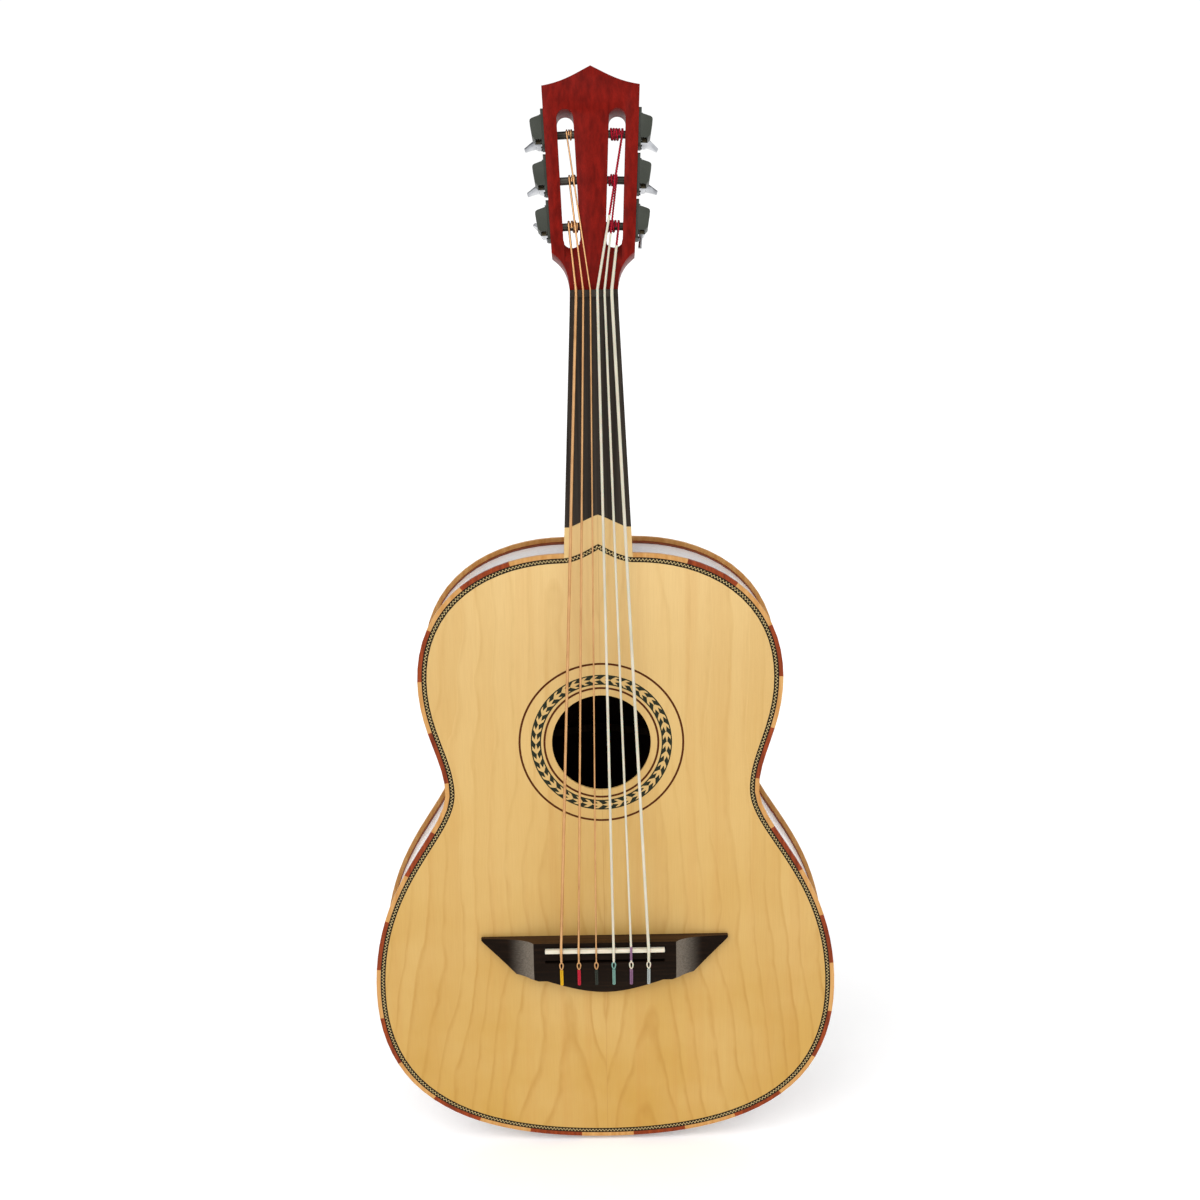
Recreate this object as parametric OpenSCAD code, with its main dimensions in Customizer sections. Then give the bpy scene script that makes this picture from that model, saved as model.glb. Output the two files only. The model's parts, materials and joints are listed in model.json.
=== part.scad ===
// Mexican guitarron: six strings, fretless fingerboard, deep V back and a slotted headstock.
// X runs across, Y runs from the soundboard's face into the body, Z runs up the neck.
// The origin is on the centre line, at the front edge of the nut and level with the fingerboard.

/* [Body outline] */
// Distance from the nut down to the top of the body
body_top = 260; // [245:1:275]
// Length of the body along the centre line
body_len = 661.5; // [640:0.5:690]
// Width of the upper bout
upper_w = 382; // [360:1:400]
// Distance from the top of the body to the widest place of the upper bout
upper_at = 135; // [125:1:145]
// Width of the waist
waist_w = 332; // [315:1:345]
// Distance from the top of the body to the waist
waist_at = 257; // [248:1:266]
// Width of the lower bout
lower_w = 498; // [475:1:520]
// Distance from the top of the body to the widest place of the lower bout
lower_at = 483; // [470:1:496]
// How far the shoulder runs level before it turns down
shoulder_reach = 87; // [70:1:100]
// How far the shoulder's side runs straight above the upper bout
shoulder_drop = 86; // [70:1:95]
// Straightness of the side below the upper bout
upper_round = 54; // [40:1:60]
// Straightness of the side above the waist
waist_up = 37; // [28:1:45]
// Straightness of the side below the waist
waist_down = 46; // [36:1:56]
// Straightness of the side above the lower bout
lower_up = 128; // [110:1:140]
// Straightness of the side below the lower bout
lower_down = 136; // [110:1:140]
// How far the tail runs level on each side of the centre line
tail_reach = 142; // [120:1:150]

/* [Body shell] */
// Thickness of the soundboard and of the fingerboard that lies flush with it
top_t = 3; // [2.5:0.1:4]
// Depth of the sides at the neck, from the soundboard's face
rib_neck = 84; // [75:1:95]
// Depth of the sides at the tail, from the soundboard's face
rib_tail = 130; // [115:1:145]
// Thickness of the bent sides
rib_t = 2.5; // [2:0.1:3.5]
// Height of the back's ridge above the plane of the sides
back_rise = 140; // [110:1:160]
// Place of the deepest ridge, as a share of the body's length
ridge_at = 0.62; // [0.56:0.01:0.68]
// Crown of each back plate between the ridge and the side
back_crown = 0.22; // [0:0.01:0.4]
// Thickness of the back plates
plate_t = 3.2; // [2.5:0.1:4]
// Width of the lining strips
lining_w = 5; // [4:0.5:7]
// Height of the lining strips
lining_h = 12; // [8:1:16]
// Thickness of the tail block
tail_block_t = 20; // [14:1:26]

/* [Edges and inlays] */
// Width of the binding round the soundboard
bind_w = 4.5; // [3.5:0.1:5.5]
// Height of the binding round the soundboard
bind_h = 5; // [4:0.1:7]
// Whole binding blocks on each side between the neck and the tail
binding_blocks = 16; // [12:1:18]
// How far the back's binding stands past the soundboard's edge
back_lip = 0.5; // [0:0.1:1.5]
// How far the back's binding covers the sides
back_cover = 1.5; // [1:0.1:3]
// Height of the wooden strip along the sides' back edge
side_strip_h = 12; // [8:1:16]
// Thickness of that strip
side_strip_t = 0.6; // [0.4:0.1:1]
// Width of the purfling inlaid round the soundboard
purfling_w = 5.2; // [4:0.1:6]
// Depth of the inlays
inlay_t = 1.2; // [0.8:0.1:1.8]
// Rise of the purfling's point over the neck joint
peak_h = 14.5; // [8:0.5:20]
// Distance from the top of the body to the centre of the soundhole
hole_at = 203.4; // [195:0.2:212]
// Diameter of the soundhole
hole_d = 104; // [96:1:110]
// Radius of the rosette's inner line
rosette_in = 59.9; // [57:0.1:61]
// Width of the rosette's two lines
rosette_line = 2.2; // [1.5:0.1:2.4]
// Inner radius of the mosaic ring
mosaic_in = 63.5; // [63:0.1:66]
// Width of the mosaic ring
mosaic_w = 10.8; // [9:0.1:13]
// Radius of the rosette's outer line
rosette_out = 86.1; // [82:0.1:90]

/* [Neck] */
// Width of the neck at the nut
nut_len = 47.8; // [46:0.2:50]
// Width of the neck where it meets the body
neck_joint_w = 70.6; // [66:0.2:74]
// Length of the fingerboard at its edges
fb_len = 232.4; // [222:0.2:240]
// How far the soundboard's point runs up into the fingerboard
fb_point = 12.9; // [8:0.1:18]
// Square end left at each edge of the fingerboard
fb_flat = 5.6; // [3:0.1:8]
// Thickness of the neck under the fingerboard
neck_t = 23; // [20:0.5:27]
// Length of the neck's foot inside the body
foot_len = 30; // [20:1:40]
// Half width of the core between the two side slots of the foot
foot_core = 12; // [8:0.5:16]

/* [Nut, bridge and strings] */
// Thickness of the nut along the neck
nut_w = 6.9; // [5:0.1:8]
// Height of the nut above the fingerboard
nut_h = 2.4; // [2:0.1:3.5]
// Height of the strings' lower side above the fingerboard at the nut
nut_action = 1.2; // [0.8:0.1:1.6]
// Distance from the nut to the middle of the saddle
scale_len = 689; // [675:1:700]
// Spacing of the strings at the nut
nut_pitch = 7.1; // [6.6:0.1:7.6]
// Spacing of the strings at the saddle
saddle_pitch = 18.7; // [16:0.1:19.2]
// Full width of the bridge
bridge_w = 266; // [240:1:290]
// Width of the bridge's block
block_w = 153; // [140:1:165]
// Height of the block above the soundboard
block_h = 21; // [16:0.5:25]
// Height of the wings at their tips
wing_h = 6; // [4:0.5:8]
// Distance from the saddle's middle to the bridge's straight edge
bridge_front = 8.4; // [5:0.1:10]
// Length of the saddle
saddle_len = 128; // [118:1:136]
// Thickness of the saddle
saddle_t = 4.5; // [3.5:0.1:5.5]
// Height of the saddle above the block
saddle_h = 4; // [3:0.1:6]
// Depth of the saddle's slot in the block
saddle_slot = 3; // [2:0.1:6]
// Distance from the saddle's middle to the tie groove
groove_at = 13; // [11:0.5:18]
// Length of the coloured tails on the tied ends
tail_len = 22; // [12:1:24]

/* [Headstock] */
// Backward tilt of the headstock in degrees
head_tilt = 18; // [14:0.5:20]
// Drop of the headstock's face below the fingerboard at the nut
head_drop = 4.4; // [3.8:0.1:5.5]
// Length of the headstock's face to its point
head_len = 228.5; // [222:0.5:236]
// Distance from the nut to the headstock's square upper corners
head_corner_at = 208.5; // [205:0.5:214]
// Width of the headstock at its upper corners
head_top_w = 98.8; // [96:0.2:104]
// Distance from the nut to the headstock's lower corners
head_low_at = 38; // [34:0.5:40]
// Width of the headstock at its lower corners
head_low_w = 83; // [81:0.2:87]
// Thickness of the headstock
head_t = 26; // [24:0.5:28]
// Width of the two string slots
slot_w = 17; // [16.5:0.1:18]
// Distance from the nut to the lower end of the slots
slot_low_at = 43.6; // [42:0.2:45]
// Distance from the nut to the upper end of the slots
slot_top_at = 184.3; // [182:0.2:190]
// Distance between the slots' middles at their lower ends
slot_low_gap = 42.2; // [41.5:0.1:43.5]
// Distance between the slots' middles at their upper ends
slot_top_gap = 52.6; // [51.5:0.1:54]

/* [Tuners] */
// Distance from the nut to the first pair of rollers
roller_first = 65.3; // [64:0.1:68]
// Distance from one pair of rollers to the next
roller_step = 47; // [46.5:0.1:48]
// Depth of the rollers below the headstock's face
roller_depth = 9.5; // [9.5:0.1:10]
// Diameter of the rollers
roller_d = 8; // [7:0.1:8.4]
// Running clearance round the rollers
roller_gap = 0.3; // [0.2:0.05:0.4]
// Depth of the rollers' blind bearings in the middle of the headstock
roller_seat = 8; // [5:0.5:9]
// Number of teeth on each gear
gear_teeth = 14; // [14:1:14]
// Module of the gears
gear_module = 0.9; // [0.88:0.01:0.92]
// Thickness of the gears
gear_t = 4; // [3:0.1:4.4]
// Distance of the gears' middle from the headstock's side
gear_off = 6.4; // [6.2:0.1:7]
// Pitch radius of the worms
worm_pitch_r = 2.7; // [2.6:0.05:2.8]
// Play between the worm and the gear, measured along the worm
mesh_play = 0.5; // [0.4:0.05:0.6]
// Size of the square that drives the gears
square_w = 4.5; // [4:0.1:5]
// Thickness of the side plates
side_plate_t = 2.8; // [2:0.1:3]
// Width of the side plates
side_plate_w = 20.5; // [19:0.1:21]
// Wall of the tuner hoods
hood_t = 1.2; // [0.8:0.1:1.4]
// Reach of the hoods from the headstock's side at their wide end
hood_wide = 14; // [13.4:0.2:17.4]
// Reach of the hoods at their narrow end
hood_narrow = 12.2; // [11.8:0.2:14.8]
// Diameter of the key shafts
shaft_d = 4; // [3:0.1:4.2]
// Distance from the headstock's face to the front of the key bosses
key_front = 44; // [40:0.5:48]
// Length of the key bosses
key_len = 24; // [19:0.5:26]
// Diameter of the key bosses
key_boss_d = 8; // [6.4:0.1:9]
// Reach of the key wings from the shaft
key_reach = 16.5; // [13:0.5:18]
// Thickness of the key wings
key_wing_t = 3.6; // [2.6:0.1:4.6]
// Diameter of the tuner screws
screw_d = 2.8; // [2.2:0.1:3]
// Length of the tuner screws
screw_len = 10; // [7:0.5:11]

/* [Hidden] */
$fn = 48;

maple = [0.88, 0.72, 0.48];
pale_wood = [0.86, 0.84, 0.84];
tan_wood = [0.85, 0.65, 0.42];
red_wood = [0.66, 0.3, 0.15];
mahogany = [0.38, 0.1, 0.05];
spruce = [0.85, 0.75, 0.55];
ebony = [0.16, 0.13, 0.1];
bone = [0.9, 0.87, 0.78];
gunmetal = [0.3, 0.31, 0.28];
chrome = [0.8, 0.79, 0.76];
brass = [0.75, 0.6, 0.3];
bronze = [0.76, 0.55, 0.3];
nylon = [0.86, 0.87, 0.84];
red_silk = [0.6, 0.04, 0.1];

z_top = -body_top;
z_tail = -body_top - body_len;
neck_half = neck_joint_w / 2;
steps_per_block = 4;
half_n = steps_per_block * binding_blocks + 2;
curve_steps = 26;
soft = 0.3;

// Numbered from the bass side: diameter of the string, and of its end above the nut
string_d = [3.0, 2.3, 1.7, 2.8, 2.4, 3.2];
end_d = [2.4, 2.0, 1.7, 2.3, 2.0, 2.3];
// Distance from the middle of the headstock at which each string meets its roller
meet_at = [24.1, 22.8, 24.8, 31.3, 24.6, 25.9];
// Turns of each string on its roller, and the angle at which each key rests
turns = [2, 1.5, 1.5, 3.5, 2, 3];
key_rest = [48, 165, 165, 156, 165, 87];
row = [0, 1, 2, 2, 1, 0];
string_colour = [bronze, bronze, bronze, nylon, nylon, nylon];
winding_colour = [bronze, bronze, bronze, red_silk, red_silk, red_silk];

function bez(a, b, c, d, n) =
    [for (i = [0:n - 1]) let (t = i / n, u = 1 - t)
        u * u * u * a + 3 * u * u * t * b + 3 * u * t * t * c + t * t * t * d];
function rev(p) = [for (i = [len(p) - 1:-1:0]) p[i]];
function flip(p) = [for (q = p) [-q[0], q[1]]];
function some(p, a, b) = [for (i = [a:b]) p[i]];
function unit(v) = v / norm(v);
function mix(a, b, t) = a + (b - a) * t;

// Half outline of the body, from the side of the neck round to the tail
upper = [upper_w / 2, z_top - upper_at];
waist = [waist_w / 2, z_top - waist_at];
lower = [lower_w / 2, z_top - lower_at];
drawn = concat(
    bez([neck_half, z_top], [neck_half + shoulder_reach, z_top],
        upper + [0, shoulder_drop], upper, curve_steps),
    bez(upper, upper - [0, upper_round], waist + [0, waist_up], waist, curve_steps),
    bez(waist, waist - [0, waist_down], lower + [0, lower_up], lower, curve_steps),
    bez(lower, lower - [0, lower_down], [tail_reach, z_tail], [0, z_tail], curve_steps),
    [[0, z_tail]]);
function run_lengths(p) =
    [for (i = 0, s = 0; i < len(p);
        i = i + 1, s = s + (i < len(p) ? norm(p[i] - p[i - 1]) : 0)) s];
lengths = run_lengths(drawn);
function along(s) =
    let (k = max([for (i = [0:len(lengths) - 2]) if (lengths[i] <= s) i]))
    mix(drawn[k], drawn[k + 1], (s - lengths[k]) / (lengths[k + 1] - lengths[k]));
edge = [for (i = [0:half_n])
    i == half_n ? [0, z_tail] : along(lengths[len(lengths) - 1] * i / half_n)];
outward = [for (i = [0:half_n])
    i == 0 ? [0, 1] : i == half_n ? [0, -1] :
    let (t = unit(edge[i + 1] - edge[i - 1])) [-t[1], t[0]]];
function inset(o) = [for (i = [0:half_n]) edge[i] - o * outward[i]];
function both_sides(p) = concat(p, rev(flip(some(p, 0, len(p) - 2))));
function strip(o1, o2, a, b) = concat(some(inset(o1), a, b), rev(some(inset(o2), a, b)));

// Half width of the neck at a height
function neck_at(z) = mix(nut_len / 2, neck_half, z / z_top);
// Depth of the plane in which the back meets the sides
function rib_y(z) = mix(rib_neck, rib_tail, (z_top - z) / body_len);

rib_out = inset(bind_w);
shell_top = rib_out[0][1];
shell_len = shell_top - rib_out[half_n][1];
ridge_pow = ln(0.5) / ln(ridge_at);
function rise(z) =
    let (u = min(max((shell_top - z) / shell_len, 0), 1)) back_rise * sin(180 * pow(u, ridge_pow));
// Height of the back's inner face over the plane of the sides, v running from ridge to side
function vault(z, v) = rise(z) * (1 - v) * (1 + back_crown * v);
width_table = [for (i = [half_n:-1:0]) [rib_out[i][1], rib_out[i][0]]];
function half_width(z) = lookup(z, width_table);

// Solid between two depths, from a drawing of X and Z
module deep(y0, y1) translate([0, y1, 0]) rotate([90, 0, 0]) linear_extrude(y1 - y0) children();
// Solid across the object, from a drawing of Y and Z
module across(x0, x1) translate([x0, 0, 0]) rotate([90, 0, 90]) linear_extrude(x1 - x0) children();
// Turns a solid that stands on XY so that it points along Y
module to_y() rotate([90, 0, 90]) rotate([90, 0, 90]) children();
module to_x() rotate([90, 0, 90]) children();

// Everything between two planes parallel to the one in which the back meets the sides
module band(a, b) {
    far = 60;
    z1 = z_top + far;
    z2 = z_tail - far;
    across(-lower_w, lower_w) polygon([
        [rib_y(z1) + a, z1], [rib_y(z1) + b, z1], [rib_y(z2) + b, z2], [rib_y(z2) + a, z2]]);
}

// Closed skin over rings that have the same number of points, counted round the way they advance
module skin(rings) {
    n = len(rings);
    m = len(rings[0]);
    polyhedron(
        points = [for (r = rings) for (p = r) p],
        faces = concat(
            [for (k = [1:m - 2]) [0, k, k + 1]],
            [for (k = [1:m - 2]) [(n - 1) * m, (n - 1) * m + k + 1, (n - 1) * m + k]],
            [for (i = [0:n - 2]) for (k = [0:m - 1])
                [i * m + k, (i + 1) * m + k, (i + 1) * m + (k + 1) % m]],
            [for (i = [0:n - 2]) for (k = [0:m - 1])
                [i * m + k, (i + 1) * m + (k + 1) % m, i * m + (k + 1) % m]]));
}

function tangents(p) =
    [for (i = [0:len(p) - 1]) unit(p[min(i + 1, len(p) - 1)] - p[max(i - 1, 0)])];
function sideways(t, u0) =
    [for (i = 0, u = unit(u0 - (u0 * t[0]) * t[0]); i < len(t);
        i = i + 1, u = i < len(t) ? unit(u - (u * t[i]) * t[i]) : u) u];
// Round tube of m sides along points, with a radius at each point
module tube(p, r, m) {
    t = tangents(p);
    u = sideways(t, [1, 0.02, 0.03]);
    skin([for (i = [0:len(p) - 1]) let (v = cross(t[i], u[i]))
        [for (k = [0:m - 1]) p[i] + r[i] * (cos(360 * k / m) * u[i] + sin(360 * k / m) * v)]]);
}

// Binding blocks: light ones are even, dark ones odd, and the last light one spans the tail
module block_shapes(o1, o2, dark) {
    for (k = [dark ? 1 : 0:2:binding_blocks - 1]) {
        shape = strip(o1, o2, k * steps_per_block, (k + 1) * steps_per_block);
        polygon(shape);
        polygon(rev(flip(shape)));
    }
    if (dark == (binding_blocks % 2 == 1)) {
        a = binding_blocks * steps_per_block;
        polygon(concat(
            both_sides(some(inset(o1), a, half_n)), rev(both_sides(some(inset(o2), a, half_n)))));
    }
}

module top_binding_light() color(tan_wood) deep(0, bind_h) block_shapes(0, bind_w, false);
module top_binding_dark() color(red_wood) deep(0, bind_h) block_shapes(0, bind_w, true);

module back_blocks(dark) intersection() {
    deep(rib_neck - 40, rib_tail + 40) block_shapes(-back_lip, bind_w, dark);
    band(-back_cover, plate_t);
}
module back_binding_light() color(tan_wood) back_blocks(false);
module back_binding_dark() color(red_wood) back_blocks(true);

// Strip along the sides' back edge, under the binding
module side_purfling() color(red_wood) intersection() {
    deep(rib_neck - 40, rib_tail + 40) for (s = [0, 1]) mirror([s, 0])
        polygon(strip(bind_w - side_strip_t, bind_w, 0, half_n));
    band(-back_cover - side_strip_h, -back_cover);
}

// Shape of the soundboard's point, as seen from the right edge to the left
tongue_z = -fb_len;
tongue_half = neck_at(tongue_z);
point_round = 4;
point_drop = 1.4;
tongue_end = [
    [tongue_half, tongue_z], [tongue_half - fb_flat, tongue_z],
    [point_round, tongue_z + fb_point - point_drop], [0, tongue_z + fb_point],
    [-point_round, tongue_z + fb_point - point_drop],
    [-tongue_half + fb_flat, tongue_z], [-tongue_half, tongue_z]];

// Height of the purfling's outer edge over the neck joint
peak_pow = 1.55;
function peak(x) = shell_top + peak_h * pow(1 - abs(x) / neck_half, peak_pow);
peak_steps = 7;
peak_xs = [for (i = [-peak_steps:peak_steps]) neck_half * i / peak_steps];
module purfling_shape() {
    for (s = [0, 1]) mirror([s, 0]) polygon(strip(bind_w, bind_w + purfling_w, 0, half_n));
    polygon(concat([for (x = peak_xs) [x, peak(x)]], rev([for (x = peak_xs) [x, peak(x) - purfling_w]])));
}
module top_purfling() color(ebony) deep(0, inlay_t) purfling_shape();

module annulus(r_in, r_out) difference() {
    circle(r_out, $fn = 96);
    circle(r_in, $fn = 96);
}
module rosette_shapes() translate([0, z_top - hole_at]) {
    annulus(rosette_in - rosette_line / 2, rosette_in + rosette_line / 2);
    annulus(mosaic_in, mosaic_in + mosaic_w);
    annulus(rosette_out - rosette_line / 2, rosette_out + rosette_line / 2);
}
module rosette() color(ebony) deep(0, inlay_t) rosette_shapes();

module soundboard() color(maple) difference() {
    deep(0, top_t) polygon(concat(rib_out, rev(flip(some(rib_out, 0, half_n - 1))), rev(tongue_end)));
    deep(-1, inlay_t) purfling_shape();
    deep(-1, inlay_t) rosette_shapes();
    deep(-1, top_t + 1) translate([0, z_top - hole_at]) circle(hole_d / 2, $fn = 96);
}

// One bent side, from its slot in the neck's foot to the middle of the tail
rib_in = inset(bind_w + rib_t);
module rib() intersection() {
    deep(top_t, rib_tail + 30) polygon(concat(
        [[foot_core, shell_top]], rib_out, rev(rib_in), [[foot_core, shell_top - rib_t]]));
    band(-rib_tail - 40, 0);
}
module rib_treble() color(pale_wood) rib();
module rib_bass() color(pale_wood) mirror([1, 0, 0]) rib();

// The linings run from the neck's foot to the tail block
tail_steps = 4;
lining_end = half_n - tail_steps;
module lining_shapes() for (s = [0, 1]) mirror([s, 0])
    polygon(strip(bind_w + rib_t, bind_w + rib_t + lining_w, 0, lining_end));
module linings() color(spruce) {
    deep(top_t, top_t + lining_h) lining_shapes();
    intersection() {
        deep(rib_neck - 40, rib_tail + 30) lining_shapes();
        band(-lining_h, 0);
    }
}

lining_in = inset(bind_w + rib_t + lining_w);
lining_table = [for (i = [half_n:-1:0]) [lining_in[i][1], lining_in[i][0]]];
// Half length of a bar that fits between the linings, at a height and with its width
function bar_reach(z, w) = min(lookup(z - w / 2, lining_table), lookup(z + w / 2, lining_table)) - soft;

module tail_block() color(spruce) intersection() {
    deep(top_t, rib_tail + 30) polygon(concat(
        both_sides(some(rib_in, lining_end, half_n)),
        rev(let (p = inset(bind_w + rib_t + tail_block_t)[lining_end]) [p, [-p[0], p[1]]])));
    band(-rib_tail - 40, 0);
}

// One half of the vaulted back, from the ridge at X 0 to the side
vault_steps = 3;
module back_plate() {
    n = half_n;
    m = vault_steps + 1;
    function outer(i, j) = let (v = j / vault_steps, z = rib_out[i][1])
        [rib_out[i][0] * v, rib_y(z) + vault(z, v), z];
    inner_pts = [for (i = [0:n - 1]) for (j = [0:m - 1]) outer(i, j)];
    outer_pts = [for (p = inner_pts) p + [0, plate_t, 0]];
    tip = [0, rib_y(rib_out[n][1]), rib_out[n][1]];
    k = len(inner_pts);
    function q(a, b, c, d) = [[a, b, c], [a, c, d]];
    polyhedron(
        points = concat(inner_pts, outer_pts, [tip, tip + [0, plate_t, 0]]),
        faces = concat(
            [for (i = [0:n - 2]) for (j = [0:m - 2])
                for (f = q(i * m + j, (i + 1) * m + j, (i + 1) * m + j + 1, i * m + j + 1)) rev(f)],
            [for (i = [0:n - 2]) for (j = [0:m - 2])
                let (a = k + i * m + j, b = a + m) for (f = q(a, b, b + 1, a + 1)) f],
            [for (j = [0:m - 2]) rev([(n - 1) * m + j, 2 * k, (n - 1) * m + j + 1])],
            [for (j = [0:m - 2]) [k + (n - 1) * m + j, 2 * k + 1, k + (n - 1) * m + j + 1]],
            [for (j = [0:m - 2]) for (f = q(j, k + j, k + j + 1, j + 1)) f],
            [for (i = [0:n - 2]) for (f = q(i * m, (i + 1) * m, k + (i + 1) * m, k + i * m)) f],
            [for (f = q((n - 1) * m, 2 * k, 2 * k + 1, k + (n - 1) * m)) f],
            [for (i = [0:n - 2]) let (e = m - 1)
                for (f = q(i * m + e, k + i * m + e, k + (i + 1) * m + e, (i + 1) * m + e)) f],
            [for (f = q((n - 1) * m + m - 1, k + (n - 1) * m + m - 1, 2 * k + 1, 2 * k)) f]));
}
module back_plate_treble() color(pale_wood) back_plate();
module back_plate_bass() color(pale_wood) mirror([1, 0, 0]) back_plate();

// Bars glued under the soundboard: distance below the body's top
bar_at = [62, 128, 286];
bar_w = 9;
bar_h = 15;
fan_count = 5;
fan_from = 306;
fan_len = 270;
fan_w = 7;
fan_h = 8;
fan_spread = 7;
fan_pitch = 46;
module soundboard_braces() color(spruce) {
    for (a = bar_at) let (z = z_top - a, w = bar_reach(z, bar_w))
        translate([-w, top_t, z - bar_w / 2]) cube([2 * w, bar_h, bar_w]);
    for (i = [0:fan_count - 1]) let (c = i - (fan_count - 1) / 2)
        translate([c * fan_pitch, 0, z_top - fan_from]) rotate([0, c * fan_spread, 0])
            translate([-fan_w / 2, top_t, -fan_len]) cube([fan_w, fan_h, fan_len]);
}

// Bars that follow the inside of the vaulted back
back_bar_at = [110, 240, 380, 520];
back_bar_w = 8;
back_bar_h = 16;
back_bar_steps = 6;
// Room between the bars and the folded plates, filled by the glue
glue_line = 0.8;
// Depth of the back plate's inner face, which is flat between the steps of its vault
function back_under(x, z) = let (
    v = min(abs(x) / half_width(z), 1) * vault_steps, j = min(floor(v), vault_steps - 1))
    rib_y(z) + mix(vault(z, j / vault_steps), vault(z, (j + 1) / vault_steps), v - j);
module back_braces() color(spruce) for (a = back_bar_at) {
    z = z_top - a;
    w = bar_reach(z, back_bar_w);
    hw = back_bar_w / 2;
    top_line = [for (i = [-back_bar_steps:back_bar_steps]) let (x = w * i / back_bar_steps)
        [x, min(back_under(x, z - hw), back_under(x, z), back_under(x, z + hw)) - glue_line]];
    translate([0, 0, z - hw]) linear_extrude(back_bar_w)
        polygon(concat(top_line, rev([for (p = top_line) p - [0, back_bar_h]])));
}

// Cross section of the neck at a height: half width, depth and roundness, round below, flat on top
function d_ring(z, w, d, e, tilt) = [for (i = [0:neck_sides])
    let (a = 180 * i / neck_sides, c = cos(a), s = sin(a), y = top_t + d * pow(max(s, 0), e))
    [w * sign(c) * pow(abs(c), e), y, z - tilt * (y - head_drop)]];
neck_sides = 14;
heel_d = rib_neck - top_t - back_cover - soft;
core_up = 6;
// Where along the neck its back is measured, with the share of the heel's depth there
heel_run = [[70, 0], [52, 0.06], [36, 0.2], [22, 0.44], [10, 0.76], [0, 1]];
module neck() color(mahogany) union() {
    skin(concat(
        [for (h = rev(heel_run)) let (z = shell_top + h[0])
            d_ring(z, neck_at(z), mix(neck_t + 3, heel_d, h[1]), mix(0.85, 1.12, h[1]), 0)],
        [for (f = [0.62, 0.4, 0.2, 0.08]) let (z = shell_top * f)
            d_ring(z, neck_at(z), neck_t + 3 * f * f, mix(0.75, 0.85, f), 0)],
        [d_ring(nut_w, nut_len / 2, head_t * cos(head_tilt) + head_drop - top_t, 0.32,
            tan(head_tilt))]));
    foot_d = heel_d - 2;
    translate([-neck_half, top_t, shell_top - rib_t - foot_len]) cube([2 * neck_half, foot_d, foot_len]);
    for (part = [[1, 1], [0.7, rib_t + core_up]])
        translate([-foot_core, top_t, shell_top - rib_t - 1])
            cube([2 * foot_core, foot_d * part[0], rib_t + part[1]]);
}

module fingerboard() color(ebony) deep(0, top_t) polygon(concat(
    [[nut_len / 2, 0]], tongue_end, [[-nut_len / 2, 0]]));

// Frame of the headstock: X across, Y into its thickness, Z up along its face
module head_frame() translate([0, head_drop, nut_w]) rotate([-head_tilt, 0, 0]) children();
// Point of the headstock's frame in the object's own
function from_head(p) = [p[0],
    head_drop + p[1] * cos(head_tilt) + p[2] * sin(head_tilt),
    nut_w - p[1] * sin(head_tilt) + p[2] * cos(head_tilt)];

slot_r = slot_w / 2;
slot_a = [slot_low_gap / 2, slot_low_at + slot_r];
slot_b = [slot_top_gap / 2, slot_top_at - slot_r];
slot_side = let (t = unit(slot_b - slot_a)) slot_r * [t[1], -t[0]];
module slot_shape() {
    translate(slot_a) circle(slot_r);
    translate(slot_b) circle(slot_r);
    polygon([slot_a + slot_side, slot_b + slot_side, slot_b - slot_side, slot_a - slot_side]);
}

corner = [head_top_w / 2, head_corner_at];
low_corner = [head_low_w / 2, head_low_at];
root = [nut_len / 2, 0];
head_half = concat(
    bez([0, head_len], [16, head_len - 8.5], [28, head_corner_at + 3.5], corner, 9), [corner],
    bez(low_corner, low_corner - [10.5, 8.5], root + [1.2, 22], root, 9), [root]);
side_angle = atan2(corner[0] - low_corner[0], corner[1] - low_corner[1]);
function side_at(s) = mix(low_corner[0], corner[0], (s - low_corner[1]) / (corner[1] - low_corner[1]));

// The ramp that leads the strings down into each slot
ramp_from = 27;
ramp_depth = 8.6;
ramp_w = 15;

roller_at = [for (i = [0:2]) roller_first + i * roller_step];
// Frame of one tuner: X out of the headstock's side, Y into its thickness, Z up along the side
module tuner_frame(i) head_frame() mirror([i < 3 ? 1 : 0, 0, 0])
    translate([side_at(roller_at[row[i]]), 0, roller_at[row[i]]]) rotate([0, side_angle, 0]) children();
// How far the slot's inner wall lies from the side, measured along the roller
function seat_from(i) = let (s = roller_at[row[i]],
    t = (s - slot_a[1]) / (slot_b[1] - slot_a[1])) side_at(s) - mix(slot_a[0], slot_b[0], t) + slot_r;
screw_z = [-9.8, 23.6];
screw_y = 17.5;

module headstock() color(mahogany) difference() {
    head_frame() difference() {
        deep(0, head_t) polygon(concat(head_half, rev(flip(some(head_half, 1, len(head_half) - 1)))));
        for (s = [0, 1]) mirror([s, 0, 0]) {
            deep(-1, head_t + 1) slot_shape();
            across(slot_a[0] - ramp_w / 2, slot_a[0] + ramp_w / 2)
                polygon([[-0.5, ramp_from], [ramp_depth, slot_a[1]], [-0.5, slot_a[1]]]);
        }
    }
    for (i = [0:5]) tuner_frame(i) {
        deepest = seat_from(i) + roller_seat;
        translate([-deepest, roller_depth, 0]) to_x()
            cylinder(h = deepest + 2, d = roller_d + 2 * roller_gap);
        for (z = screw_z) translate([-screw_len - soft, screw_y, z]) to_x()
            cylinder(h = screw_len + 2, d = screw_d, $fn = 24);
    }
}

function nut_x(i) = (i - 2.5) * nut_pitch;
function saddle_x(i) = (i - 2.5) * saddle_pitch;
z_saddle = -scale_len;
saddle_top = -block_h - saddle_h;
groove_clear = 0.12;

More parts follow.
